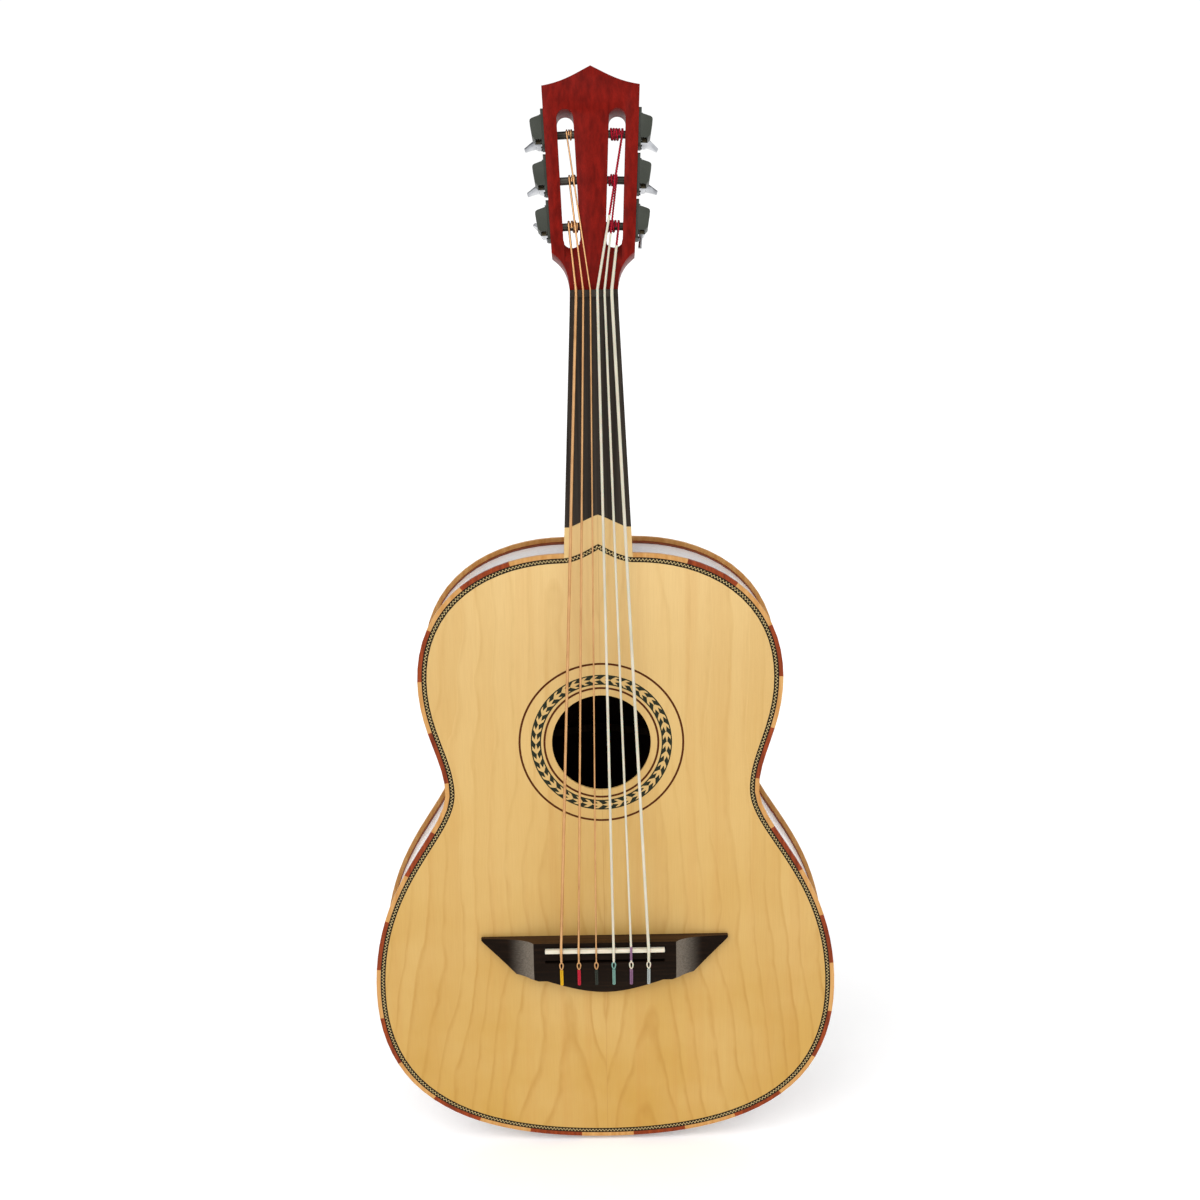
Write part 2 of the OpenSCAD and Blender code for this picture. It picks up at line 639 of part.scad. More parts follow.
module nut() color(ebony) difference() {
    translate([-nut_len / 2, -nut_h, 0]) cube([nut_len, nut_h + top_t, nut_w]);
    for (i = [0:5]) let (r = string_d[i] / 2)
        translate([nut_x(i), -nut_action - r, -1]) cylinder(h = nut_w + 2, r = r + groove_clear, $fn = 32);
}

// Half outline of the bridge, from its straight edge out to the tip and round the belly
bridge_z = z_saddle + bridge_front;
tip_drop = 5;
wing_x = 96;
wing_drop = 40;
notch_x = 82;
notch_drop = 42.4;
step_x = 72;
step_in = 62.5;
step_drop = 46.9;
belly_drop = 63.5;
belly_h = 8.5;
// The tie groove, and the flat land behind it that ends where the tails' slope begins
groove_w = 3;
groove_d = 6;
loop_r = 2.9;
loop_drop = 2;
strand_r = 0.8;
tie_land = loop_drop + 2.3 * loop_r + strand_r;
slope_from = -bridge_front - groove_at - tie_land;
slope_angle = atan2(block_h - belly_h, belly_drop + slope_from);
half_bridge = concat(
    [[0, 0], [bridge_w / 2, 0], [bridge_w / 2, -tip_drop / 2], [bridge_w / 2 - 2, -tip_drop],
    [wing_x, -wing_drop], [notch_x, -notch_drop], [step_x, -step_drop]],
    bez([step_in, -step_drop], [step_in * 0.7, -step_drop - 8], [step_in * 0.35, -belly_drop],
        [0, -belly_drop], 7),
    [[0, -belly_drop]]);
wing_line = bez([block_w / 2, block_h], [block_w / 2 + 7, block_h * 0.5],
    [block_w / 2 + 24, wing_h + 1], [bridge_w / 2 + 1, wing_h], 9);
module bridge() color(ebony) difference() {
    intersection() {
        translate([0, 0, bridge_z]) deep(-block_h, 0)
            polygon(concat(half_bridge, rev(flip(some(half_bridge, 1, len(half_bridge) - 2)))));
        translate([0, 0, bridge_z - belly_drop - 1]) linear_extrude(belly_drop + 2) mirror([0, 1])
            polygon(concat([[0, block_h]], wing_line, [[bridge_w / 2 + 1, wing_h],
                [bridge_w / 2 + 1, 0], [-bridge_w / 2 - 1, 0], [-bridge_w / 2 - 1, wing_h]],
                rev(flip(wing_line))));
    }
    translate([-saddle_len / 2, -block_h - 1, z_saddle - saddle_t / 2])
        cube([saddle_len, saddle_slot + 1, saddle_t]);
    translate([-saddle_len / 2, -block_h - 1, z_saddle - groove_at - groove_w / 2])
        cube([saddle_len, groove_d + 1, groove_w]);
    across(-bridge_w, bridge_w) let (z0 = bridge_z + slope_from, reach = 60) polygon([
        [-block_h, z0], [-block_h + reach * sin(slope_angle), z0 - reach * cos(slope_angle)],
        [-block_h - reach, z0 - reach * cos(slope_angle)], [-block_h - reach, z0]]);
}

module saddle() color(bone) translate([-saddle_len / 2, saddle_top, z_saddle - saddle_t / 2])
    cube([saddle_len, saddle_h + saddle_slot, saddle_t]);

// Route of a string from its tied loop over the saddle and the nut to its roller
function roller_centre(i) = let (t = side_at(roller_at[row[i]]) - meet_at[i],
    s = roller_at[row[i]] + t * tan(side_angle)) [(i < 3 ? -1 : 1) * meet_at[i], roller_depth, s];
function wrap_r(i) = roller_d / 2 + end_d[i] / 2 + 0.15;
wrap_steps = 8;
bend_room = 0.4;
silk_share = [0, 0, 0, 0.41, 0.44, 0.61];
function string_route(i) = let (
    x = saddle_x(i), r = string_d[i] / 2, e = end_d[i] / 2, over = soft / 3,
    tie_y = -block_h - strand_r - over, loop_z = z_saddle - groove_at - loop_drop,
    c = roller_centre(i), w = wrap_r(i),
    nut_back = [nut_x(i), -nut_action - r, nut_w + bend_room * r],
    meet = from_head([c[0], c[1] - w, c[2]]))
    concat(
        [for (k = [10:-1:1]) let (a = 360 * k / 11)
            [[x + loop_r * sin(a) * 0.75, tie_y, loop_z - loop_r + loop_r * 1.3 * cos(a)], strand_r]],
        [[[x, tie_y - 0.2, loop_z + 1.8], strand_r * 1.2],
         [[x, -block_h - r - over, z_saddle - saddle_t / 2 - 6], r],
         [[x, saddle_top - r - over, z_saddle - saddle_t / 2 - bend_room * r], r],
         [[x, saddle_top - r - over, z_saddle + saddle_t / 2], r],
         [[nut_x(i), -nut_action - r, 0], r],
         [nut_back, r],
         [mix(nut_back, meet, 0.05 + silk_share[i]), r],
         [mix(nut_back, meet, 0.08 + silk_share[i]), e]],
        [for (k = [0:wrap_steps]) let (a = 180 * k / wrap_steps)
            [from_head([c[0], c[1] - w * cos(a), c[2] + w * sin(a)]), e]]);
tail_colour = ["gold", "crimson", "dimgray", "cadetblue", "purple", "silver"];
tail_r = 1.4;
module string(i) {
    route = string_route(i);
    color(string_colour[i]) tube([for (p = route) p[0]], [for (p = route) p[1]], 6);
    color(tail_colour[i]) translate([saddle_x(i), -block_h, bridge_z + slope_from])
        rotate([slope_angle, 0, 0]) tube(
            [for (f = [0, 0.1, 0.9, 1]) [0, -tail_r - soft / 3, -f * tail_len]],
            [tail_r / 2, tail_r, tail_r, tail_r / 2], 6);
}
module string_1() string(0);
module string_2() string(1);
module string_3() string(2);
module string_4() string(3);
module string_5() string(4);
module string_6() string(5);

// The roller with its flange and the square that drives the gear
flange_d = 11;
flange_t = 1;
gear_in = gear_off - gear_t / 2;
gear_out = gear_off + gear_t / 2;
cap_t = 1.2;
cap_d = 6.6;
module post(i) color(gunmetal) tuner_frame(i) translate([0, roller_depth, 0]) {
    inner = seat_from(i) + roller_seat - soft;
    union() {
        translate([-inner, 0, 0]) to_x() cylinder(h = inner + side_plate_t + soft, d = roller_d);
        translate([side_plate_t + soft, 0, 0]) to_x() cylinder(h = flange_t, d = flange_d);
        translate([side_plate_t + soft + flange_t, -square_w / 2, -square_w / 2])
            cube([gear_out - side_plate_t - soft - flange_t, square_w, square_w]);
        translate([gear_out, 0, 0]) to_x() cylinder(h = cap_t, d = cap_d);
    }
}
module post_1() post(0);
module post_2() post(1);
module post_3() post(2);
module post_4() post(3);
module post_5() post(4);
module post_6() post(5);

pitch_r = gear_module * gear_teeth / 2;
lead = PI * gear_module;
addendum = 0.8 * gear_module;
dedendum = 1.15 * gear_module;
pressure = 20;
tooth_half = (lead - mesh_play) / 4;
centre_gap = pitch_r + worm_pitch_r;
tooth_turn = 180 * (gear_t * lead / (2 * PI * worm_pitch_r)) / (PI * pitch_r);
function tooth_edge(r, side) = side * 180 * (tooth_half - (r - pitch_r) * tan(pressure)) / (PI * r);
module gear(i) color(brass) tuner_frame(i) translate([gear_in, roller_depth, 0]) difference() {
    to_x() linear_extrude(gear_t, twist = -tooth_turn, slices = 2) rotate(-tooth_turn / 2)
        polygon([for (k = [0:gear_teeth - 1]) for (c = [[0, -1], [1, -1], [1, 1], [0, 1]])
            let (r = c[0] == 1 ? pitch_r + addendum : pitch_r - dedendum,
                a = 90 + 360 * (k + 0.5) / gear_teeth + tooth_edge(r, c[1]))
            r * [cos(a), sin(a)]]);
    translate([-1, -square_w / 2, -square_w / 2]) cube([gear_t + 2, square_w, square_w]);
}
module gear_1() gear(0);
module gear_2() gear(1);
module gear_3() gear(2);
module gear_4() gear(3);
module gear_5() gear(4);
module gear_6() gear(5);

// Single-start worm: each cross section is a round root with one rounded lobe
worm_turns = 3;
worm_len = worm_turns * lead;
worm_root = worm_pitch_r - dedendum;
worm_tip = worm_pitch_r + addendum;
worm_points = 12;
worm_slices = 6;
function worm_r(a) = let (
    off = lead * min(a, 360 - a) / 360, flank = tooth_half + (worm_tip - worm_pitch_r) * -tan(pressure))
    max(worm_root, min(worm_tip, worm_tip - (off - flank) / tan(pressure)));
shaft_end = key_front + key_len * 0.7;
hood_back = roller_depth + pitch_r + addendum + soft + hood_t;
module worm(i) color(chrome) tuner_frame(i)
    translate([gear_off, roller_depth - worm_len / 2, centre_gap]) to_y() {
        union() {
            linear_extrude(worm_len, twist = -360 * worm_turns, slices = worm_turns * worm_slices,
                $fn = worm_points)
                rotate(180 * (worm_turns + 1))
                polygon([for (k = [0:worm_points - 1]) let (a = 360 * k / worm_points)
                    worm_r(a) * [cos(a), sin(a)]]);
            translate([0, 0, worm_len])
                cylinder(h = shaft_end - roller_depth - worm_len / 2, d = shaft_d, $fn = 12);
            translate([0, 0, hood_t + 1 - roller_depth + worm_len / 2])
                cylinder(h = roller_depth - worm_len / 2 - hood_t - 1, r = worm_root - 0.3, $fn = 12);
        }
    }
module worm_1() worm(0);
module worm_2() worm(1);
module worm_3() worm(2);
module worm_4() worm(3);
module worm_5() worm(4);
module worm_6() worm(5);

// Butterfly key: a round boss on the shaft with two wings that reach furthest at its rear end
wing_from = key_boss_d / 2 - 0.6;
tip_len = 4.5;
wing_shape = concat(
    bez([wing_from, 2], [key_reach * 0.45, key_len * 0.2], [key_reach * 0.7, key_len * 0.5],
        [key_reach - 1.5, key_len - tip_len - 3.5], 6),
    bez([key_reach - 1.5, key_len - tip_len - 3.5], [key_reach, key_len - tip_len - 2],
        [key_reach, key_len - tip_len + 1], [key_reach - 2, key_len - tip_len + 1.5], 5),
    bez([key_reach - 2, key_len - tip_len + 1.5], [key_reach * 0.7, key_len - tip_len + 1],
        [key_reach * 0.5, key_len - tip_len + 1], [wing_from, key_len - 1.5], 5),
    [[wing_from, key_len - 1.5]]);
module key(i) color(chrome) tuner_frame(i) translate([gear_off, key_front, centre_gap])
    rotate([0, -key_rest[i], 0]) difference() {
        union() {
            to_y() cylinder(h = key_len, d = key_boss_d, $fn = 32);
            for (s = [0, 1]) rotate([0, 180 * s, 0]) translate([0, 0, -key_wing_t / 2])
                linear_extrude(key_wing_t) polygon(wing_shape);
        }
        translate([0, -1, 0]) to_y() cylinder(h = shaft_end - key_front + 1 + soft, d = shaft_d + 0.1);
    }
module key_1() key(0);
module key_2() key(1);
module key_3() key(2);
module key_4() key(3);
module key_5() key(4);
module key_6() key(5);

// Side plate with the hood over the worm and the gear, open below, and the bearing of the shaft
plate_low = -12.6;
plate_high = 27.2;
plate_cut = 2.5;
plate_from = 1.5;
hood_low = -5;
hood_high = 19.9;
hood_front = 0.6;
function hood_shape(t, low) = [
    [side_plate_t - 0.5, low], [hood_narrow - 2.6 - t, low], [hood_narrow - t, low + 3.2],
    [hood_wide - t, hood_high - 6.2 - t], [hood_wide - 0.5 - t, hood_high - 4.1 - t],
    [hood_wide - 2.2 - t, hood_high - 2.9 - t], [hood_wide / 2 - 1.4, hood_high - 0.9 - t],
    [side_plate_t - 0.5, hood_high - t]];
plate_shape = let (a = plate_from, b = plate_from + side_plate_w, c = plate_cut) [
    [a, plate_low + c], [a + c, plate_low], [b - c, plate_low], [b, plate_low + c],
    [b, plate_high - c], [b - c, plate_high], [a + c, plate_high], [a, plate_high - c]];
bearing_d = 7.2;
bearing_end = plate_from + side_plate_w + 2.5;
module bracket() difference() {
    union() {
        across(0, side_plate_t) polygon(plate_shape);
        deep(hood_front, hood_back) polygon(hood_shape(0, hood_low));
        translate([gear_off, hood_back - hood_t, centre_gap]) to_y()
            cylinder(h = bearing_end - hood_back + hood_t, d = bearing_d);
        translate([side_plate_t - 0.5, hood_back - hood_t, centre_gap - 2])
            cube([gear_off - side_plate_t, plate_from + side_plate_w - plate_cut - hood_back + hood_t, 4]);
    }
    difference() {
        deep(hood_front + hood_t, hood_back - hood_t) polygon(hood_shape(hood_t, hood_low - 1));
        translate([0, 0, plate_low]) cube([side_plate_t, hood_back, plate_high - plate_low]);
    }
    translate([-1, roller_depth, 0]) to_x()
        cylinder(h = side_plate_t + 2, d = roller_d + 2 * roller_gap);
    for (z = screw_z) translate([-1, screw_y, z]) to_x()
        cylinder(h = side_plate_t + 2, d = screw_d + 0.2, $fn = 24);
    translate([gear_off, hood_back - hood_t - 1, centre_gap]) to_y()
        cylinder(h = bearing_end - hood_back + hood_t + 2, d = shaft_d + 1);
}
module tuner_brackets() color(gunmetal) for (i = [0:5]) tuner_frame(i) bracket();

screw_head_d = 5.2;
screw_head_t = 1.5;
module tuner_screws() color(chrome) for (i = [0:5]) tuner_frame(i)
    for (z = screw_z) translate([0, screw_y, z]) {
        translate([side_plate_t, 0, 0]) to_x() cylinder(h = screw_head_t, d = screw_head_d, $fn = 24);
        translate([-screw_len, 0, 0]) to_x()
            cylinder(h = screw_len + side_plate_t, d = screw_d, $fn = 24);
    }

// Winding: one tube with even turns that moves inward along the roller
loop_rings = 24;
turn_gap = 0.45;
winding_points = [for (i = [0:5]) let (
    d = end_d[i], w = roller_d / 2 + d / 2 + 0.08, pitch = d + turn_gap,
    off = (side_at(roller_at[row[i]]) - meet_at[i]) / cos(side_angle) + d + 0.6,
    n = turns[i] * loop_rings,
    ring = [for (k = [0:n]) let (a = 360 * k / loop_rings)
        [-off - pitch * k / loop_rings, -w * cos(a), w * sin(a)]])
    concat([ring[0] - d * unit(ring[1] - ring[0])], ring, [ring[n] + d * unit(ring[n] - ring[n - 1])])];
winding_gaps = [for (i = [0:5]) let (p = winding_points[i])
    min([for (a = [0:len(p) - 1]) for (b = [a + loop_rings / 2:1:len(p) - 1]) norm(p[a] - p[b])])
    - end_d[i]];
echo("least gap of each winding to itself, in mm", winding_gaps);
module winding(i) color(winding_colour[i]) tuner_frame(i) translate([0, roller_depth, 0])
    tube(winding_points[i], [for (p = winding_points[i]) end_d[i] / 2], 6);
module winding_1() winding(0);
module winding_2() winding(1);
module winding_3() winding(2);
module winding_4() winding(3);
module winding_5() winding(4);
module winding_6() winding(5);

soundboard();
rosette();
top_purfling();
top_binding_light();
top_binding_dark();
rib_bass();
rib_treble();
linings();
tail_block();
back_plate_bass();
back_plate_treble();
back_binding_light();
back_binding_dark();
side_purfling();
soundboard_braces();
back_braces();
neck();
headstock();
fingerboard();
nut();
bridge();
saddle();
string_1();
string_2();
string_3();
string_4();
string_5();
string_6();
tuner_brackets();
tuner_screws();
post_1();
post_2();
post_3();
post_4();
post_5();
post_6();
gear_1();
gear_2();
gear_3();
gear_4();
gear_5();
gear_6();
worm_1();
worm_2();
worm_3();
worm_4();
worm_5();
worm_6();
key_1();
key_2();
key_3();
key_4();
key_5();
key_6();
winding_1();
winding_2();
winding_3();
winding_4();
winding_5();
winding_6();
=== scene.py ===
import bpy
import bmesh
import json
import math
from mathutils import Matrix, Vector


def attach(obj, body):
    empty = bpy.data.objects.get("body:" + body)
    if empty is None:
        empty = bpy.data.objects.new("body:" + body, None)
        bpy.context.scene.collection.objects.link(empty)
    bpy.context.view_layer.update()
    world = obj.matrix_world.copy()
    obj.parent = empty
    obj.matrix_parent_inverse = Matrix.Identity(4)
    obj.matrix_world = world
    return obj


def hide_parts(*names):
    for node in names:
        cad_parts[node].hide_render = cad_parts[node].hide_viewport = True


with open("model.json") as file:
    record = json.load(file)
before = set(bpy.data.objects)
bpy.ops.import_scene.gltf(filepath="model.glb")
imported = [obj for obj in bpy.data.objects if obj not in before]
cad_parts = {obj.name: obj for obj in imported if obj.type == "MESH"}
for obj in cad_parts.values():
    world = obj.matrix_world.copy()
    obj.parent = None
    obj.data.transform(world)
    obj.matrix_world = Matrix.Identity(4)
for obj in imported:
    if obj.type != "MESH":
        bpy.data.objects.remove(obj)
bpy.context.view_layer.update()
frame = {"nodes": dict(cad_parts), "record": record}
print("frame loaded")

mm = 0.001
body = "guitarron"
slotOf = {s["node"]: s["material_slot"] for s in frame["record"]["subparts"]}
bodyOf = {n: b for b, nodes in frame["record"]["behaviour"]["bodies"].items() for n in nodes}


def colour(hexCode):
    # sRGB hex to the linear values that Blender works in
    parts = [int(hexCode[i:i + 2], 16) / 255 for i in (1, 3, 5)]
    return (*[p / 12.92 if p <= 0.04045 else ((p + 0.055) / 1.055) ** 2.4 for p in parts], 1)


def put(tree, kind, sockets=None, stops=None, **settings):
    # adds one node, sets it, and links whatever comes as a node or a socket
    made = tree.nodes.new("ShaderNode" + kind)
    for name, value in settings.items():
        setattr(made, name, value)
    for key, value in (sockets or {}).items():
        if isinstance(value, bpy.types.Node):
            value = next(out for out in value.outputs if out.enabled)
        if isinstance(value, bpy.types.NodeSocket):
            tree.links.new(value, made.inputs[key])
        else:
            made.inputs[key].default_value = value
    for k, (place, tone) in enumerate(stops or []):
        point = made.color_ramp.elements[k] if k < 2 else made.color_ramp.elements.new(place)
        point.position = place
        point.color = colour(tone)
    return made


def freshMaterial(name, **shader):
    # a new material with its shader set; place is the spot on the object in millimetres
    made = bpy.data.materials.new(name)
    made.use_nodes = True
    tree = made.node_tree
    bsdf = tree.nodes["Principled BSDF"]
    for key, value in shader.items():
        bsdf.inputs[key.replace("_", " ")].default_value = value
    place = put(tree, "VectorMath", {0: put(tree, "TexCoord").outputs["Object"], 3: 1000}, operation="SCALE")
    return made, tree, bsdf, place


def wire(tree, bsdf, **sources):
    for key, node in sources.items():
        tree.links.new(next(out for out in node.outputs if out.enabled), bsdf.inputs[key.replace("_", " ")])


def fibres(tree, place, along, width, length, detail=4.0):
    # wood fibres: noise drawn out along one axis, with its width and length in mm
    scale = [1 / width] * 3
    scale[along] = 1 / length
    return put(tree, "TexNoise", {0: put(tree, "Mapping", {0: place, 3: scale}), "Scale": 1.0, "Detail": detail,
                                  "Roughness": 0.6})


# Birch top, bookmatched at the seam and lacquered: soft streaks above, broad plain-sawn arches at the tail.
# Places and lengths are in mm, the rest are shares.
topFigure = {"archAt": 44, "spread": 6.5, "tip": 16, "period": 118, "waver": 330, "ripple": 42, "drift": 70,
             "straightAbove": -715, "straightening": 0.8, "faintAt": -560.0, "clearAt": -760.0, "faint": 0.2,
             "clear": 0.52, "blotch": 0.4, "ownTone": 0.22, "flecks": 0.14, "seamHalf": 0.35, "seam": 0.3}


def birchTop():
    made, tree, bsdf, place = freshMaterial(
        "birchTopLacquered", Roughness=0.36, Specular_IOR_Level=0.18, Coat_Weight=0.05, Coat_Roughness=0.15)
    f = topFigure
    x, _, z = put(tree, "SeparateXYZ", {0: place}).outputs
    half = put(tree, "Math", {0: x}, operation="ABSOLUTE")
    side = put(tree, "Math", {0: x, 1: 0.0}, operation="GREATER_THAN")
    drift = put(tree, "Math", {0: side, 1: f["drift"]}, operation="MULTIPLY")
    sheet = put(tree, "CombineXYZ", {0: half, 1: drift, 2: z})
    broad = put(tree, "TexNoise", {0: put(tree, "Mapping", {0: sheet, 3: (1, 1, 0.5)}), "Scale": 0.011, "Detail": 1.5,
                                   "Roughness": 0.45})
    small = put(tree, "TexNoise", {0: put(tree, "Mapping", {0: sheet, 3: (1, 1, 0.6)}), "Scale": 0.045,
                                   "Detail": 2.0})
    off = put(tree, "Math", {0: half, 1: f["archAt"]}, operation="SUBTRACT")
    arch = put(tree, "Math", {0: put(tree, "Math", {0: off, 1: off, 2: f["tip"] ** 2}, operation="MULTIPLY_ADD")},
               operation="SQRT")
    above = put(tree, "Math", {0: put(tree, "Math", {0: z, 1: f["straightAbove"]}, operation="SUBTRACT"), 1: 0.0},
                operation="MAXIMUM")
    run = put(tree, "Math", {0: above, 1: -f["straightening"], 2: z}, operation="MULTIPLY_ADD")
    run = put(tree, "Math", {0: arch, 1: f["spread"], 2: run}, operation="MULTIPLY_ADD")
    run = put(tree, "Math", {0: broad, 1: f["waver"], 2: run}, operation="MULTIPLY_ADD")
    run = put(tree, "Math", {0: small, 1: f["ripple"], 2: run}, operation="MULTIPLY_ADD")
    rings = put(tree, "Math", {0: run, 1: f["period"]}, operation="DIVIDE")
    ring = put(tree, "Math", {0: rings}, operation="FRACT")
    line = put(tree, "ValToRGB", {0: ring}, stops=[(0, "#202020"), (0.3, "#0c0c0c"), (0.72, "#5c5c5c"),
                                                   (0.9, "#f0f0f0"), (1, "#202020")])
    low = put(tree, "MapRange", {0: z, 1: f["faintAt"], 2: f["clearAt"], 3: f["faint"], 4: f["clear"]})
    uneven = put(tree, "MapRange", {0: small, 1: 0.3, 2: 0.65, 3: 0.35, 4: 1.0})
    strength = put(tree, "Math", {0: low, 1: uneven}, operation="MULTIPLY")
    strength = put(tree, "Math", {0: strength, 1: line}, operation="MULTIPLY")
    # lighter towards the neck and darker towards the tail: partly the wood's own tone, partly painted light that
    # brightens the upper top
    tone = put(tree, "ValToRGB", {0: put(tree, "MapRange", {0: z, 1: -240.0, 2: -900.0})},
               stops=[(0, "#e0c085"), (0.2, "#d3b174"), (0.45, "#cfaa67"), (0.7, "#c7a05a"), (1, "#c19748")])
    blotch = put(tree, "TexNoise", {0: place, "Scale": 0.011, "Detail": 3.0})
    shade = put(tree, "MapRange", {0: blotch, 1: 0.35, 2: 0.7, 3: 0.0, 4: f["blotch"]})
    tone = put(tree, "Mix", {0: shade, 6: tone, 7: colour("#d6b577")}, data_type="RGBA")
    # every ring of the figure has a tone of its own
    ringNumber = put(tree, "Math", {0: rings}, operation="FLOOR")
    ownTone = put(tree, "TexWhiteNoise", {"W": ringNumber}, noise_dimensions="1D")
    ownTone = put(tree, "Math", {0: ownTone, 1: f["ownTone"]}, operation="MULTIPLY")
    tone = put(tree, "Mix", {0: ownTone, 6: tone, 7: colour("#b98b42")}, data_type="RGBA")
    # orange streaks, strongest near the middle
    streak = put(tree, "MapRange", {0: fibres(tree, sheet, 2, 13, 420, 2.0), 1: 0.48, 2: 0.68, 3: 0.0, 4: 1.0})
    middle = put(tree, "MapRange", {0: half, 1: 20.0, 2: 150.0, 3: 0.2, 4: 0.14})
    streak = put(tree, "Math", {0: streak, 1: middle}, operation="MULTIPLY")
    tone = put(tree, "Mix", {0: streak, 6: tone, 7: colour("#bd8540")}, data_type="RGBA")
    tone = put(tree, "Mix", {0: strength, 6: tone, 7: colour("#a9772c")}, data_type="RGBA")
    pores = fibres(tree, place, 2, 0.9, 34)
    flecks = put(tree, "MapRange", {0: pores, 1: 0.4, 2: 0.75, 3: 0.0, 4: f["flecks"]})
    tone = put(tree, "Mix", {0: flecks, 6: tone, 7: colour("#a87a3c")}, data_type="RGBA")
    seam = put(tree, "Math", {0: half, 1: f["seamHalf"]}, operation="LESS_THAN")
    seam = put(tree, "Math", {0: seam, 1: f["seam"]}, operation="MULTIPLY")
    tone = put(tree, "Mix", {0: seam, 6: tone, 7: colour("#a8763e")}, data_type="RGBA")
    relief = put(tree, "Bump", {"Height": pores, "Distance": 0.00005, "Strength": 0.3})
    wire(tree, bsdf, Base_Color=tone, Normal=relief)
    return made


def plainWood(name, light, dark, along=2, width=1.4, length=45, roughness=0.4, coat=0.2, shine=0.35, depth=0.08,
              figure=0.0):
    # straight-grained wood: broad streaks, pores and, with figure above 0, faint bands; sizes in mm
    made, tree, bsdf, place = freshMaterial(
        name, Roughness=roughness, Coat_Weight=coat, Coat_Roughness=0.12, Specular_IOR_Level=shine)
    streaks = fibres(tree, place, along, width * 4, length * 4, 2.0)
    pores = fibres(tree, place, along, width * 0.5, length, 3.0)
    tone = put(tree, "ValToRGB", {0: streaks}, stops=[(0.32, dark), (0.68, light)])
    fleck = put(tree, "MapRange", {0: pores, 1: 0.45, 2: 0.75, 3: 0.0, 4: 0.5})
    tone = put(tree, "Mix", {0: fleck, 6: tone, 7: colour(dark)}, data_type="RGBA")
    if figure:
        ripple = put(tree, "TexNoise", {0: put(tree, "Mapping", {0: place, 3: (0.02, 0.02, 0.006)}), "Scale": 1.0})
        bands = put(tree, "Math", {0: put(tree, "Math", {0: ripple, 1: 9.0}, operation="MULTIPLY")},
                    operation="FRACT")
        band = put(tree, "Math", {0: bands, 1: figure}, operation="MULTIPLY")
        tone = put(tree, "Mix", {0: band, 6: tone, 7: colour(dark)}, data_type="RGBA")
    rough = put(tree, "MapRange", {0: pores, 3: roughness - 0.06, 4: roughness + 0.1})
    relief = put(tree, "Bump", {"Height": pores, "Distance": depth * mm, "Strength": 0.5})
    wire(tree, bsdf, Base_Color=tone, Roughness=rough, Normal=relief)
    return made


# Bridge of dyed hardwood: near black on the block; the coves of the wings carry a painted grey highlight, streaked
# along the wing, for the light their slopes reflect; the upward-facing faces of its top edge are painted brown, a
# painted highlight for the light that edge catches
bridgeLook = {"coveFrom": 76.5, "coveTo": 106, "margin": 0.1, "paintedCoveHighlight": 0.7, "edgeAbove": -682, "edgeFacing": 0.8}


def dyedBridge():
    made, tree, bsdf, place = freshMaterial("dyedBridgeHardwood", Roughness=0.45, Specular_IOR_Level=0.04)
    b = bridgeLook
    half = put(tree, "Math", {0: put(tree, "SeparateXYZ", {0: place}).outputs["X"]}, operation="ABSOLUTE")
    streaks = fibres(tree, place, 0, 3.5, 60)
    tone = put(tree, "ValToRGB", {0: streaks}, stops=[(0.3, "#110b06"), (0.55, "#180f09"), (0.72, "#23170e")])
    # long sanding marks that run out along the wing, in relief; they also streak the painted highlight in the coves
    marks = fibres(tree, put(tree, "Mapping", {0: place, 2: (0, 0.25, 0)}), 0, 0.9, 40, 5.0)
    # painted highlight: a grey that fades out from the block across each wing's cove, standing for the light the
    # cove's slope reflects
    cove = put(tree, "MapRange", {0: half, 1: b["coveFrom"], 2: b["coveTo"], 3: 1.0, 4: 0.0},
               interpolation_type="SMOOTHSTEP")
    outside = put(tree, "Math", {0: half, 1: b["coveFrom"] - b["margin"]}, operation="GREATER_THAN")
    highlightStreaks = put(tree, "MapRange", {0: marks, 1: 0.25, 2: 0.75, 3: 0.35, 4: 1.0})
    paintedCoveHighlight = put(tree, "Math", {0: cove, 1: outside}, operation="MULTIPLY")
    paintedCoveHighlight = put(tree, "Math", {0: paintedCoveHighlight, 1: highlightStreaks}, operation="MULTIPLY")
    paintedCoveHighlight = put(tree, "Math", {0: paintedCoveHighlight, 1: b["paintedCoveHighlight"]}, operation="MULTIPLY")
    tone = put(tree, "Mix", {0: paintedCoveHighlight, 6: tone, 7: colour("#9c9183")}, data_type="RGBA")
    relief = put(tree, "Bump", {"Height": marks, "Distance": 0.00008, "Strength": 0.5})
    wire(tree, bsdf, Base_Color=tone, Normal=relief)
    return made


# Rosette: cream three-lobed leaves in a dark green ring, between brown lines. Its place and radii are in mm, the
# leaf's numbers are in halves of the ring's width across it and in leaf lengths along it.
rosettePlan = {"centre": -463.4, "inner": 63.5, "outer": 74.3, "leaves": 40, "widening": 1.55, "stem": 0.15,
               "widest": 0.76, "spikeSlope": -2.3, "spikeTip": 1.08, "lobeSlope": 0.78, "lobeFrom": 0.2,
               "ringEdge": 1.08}


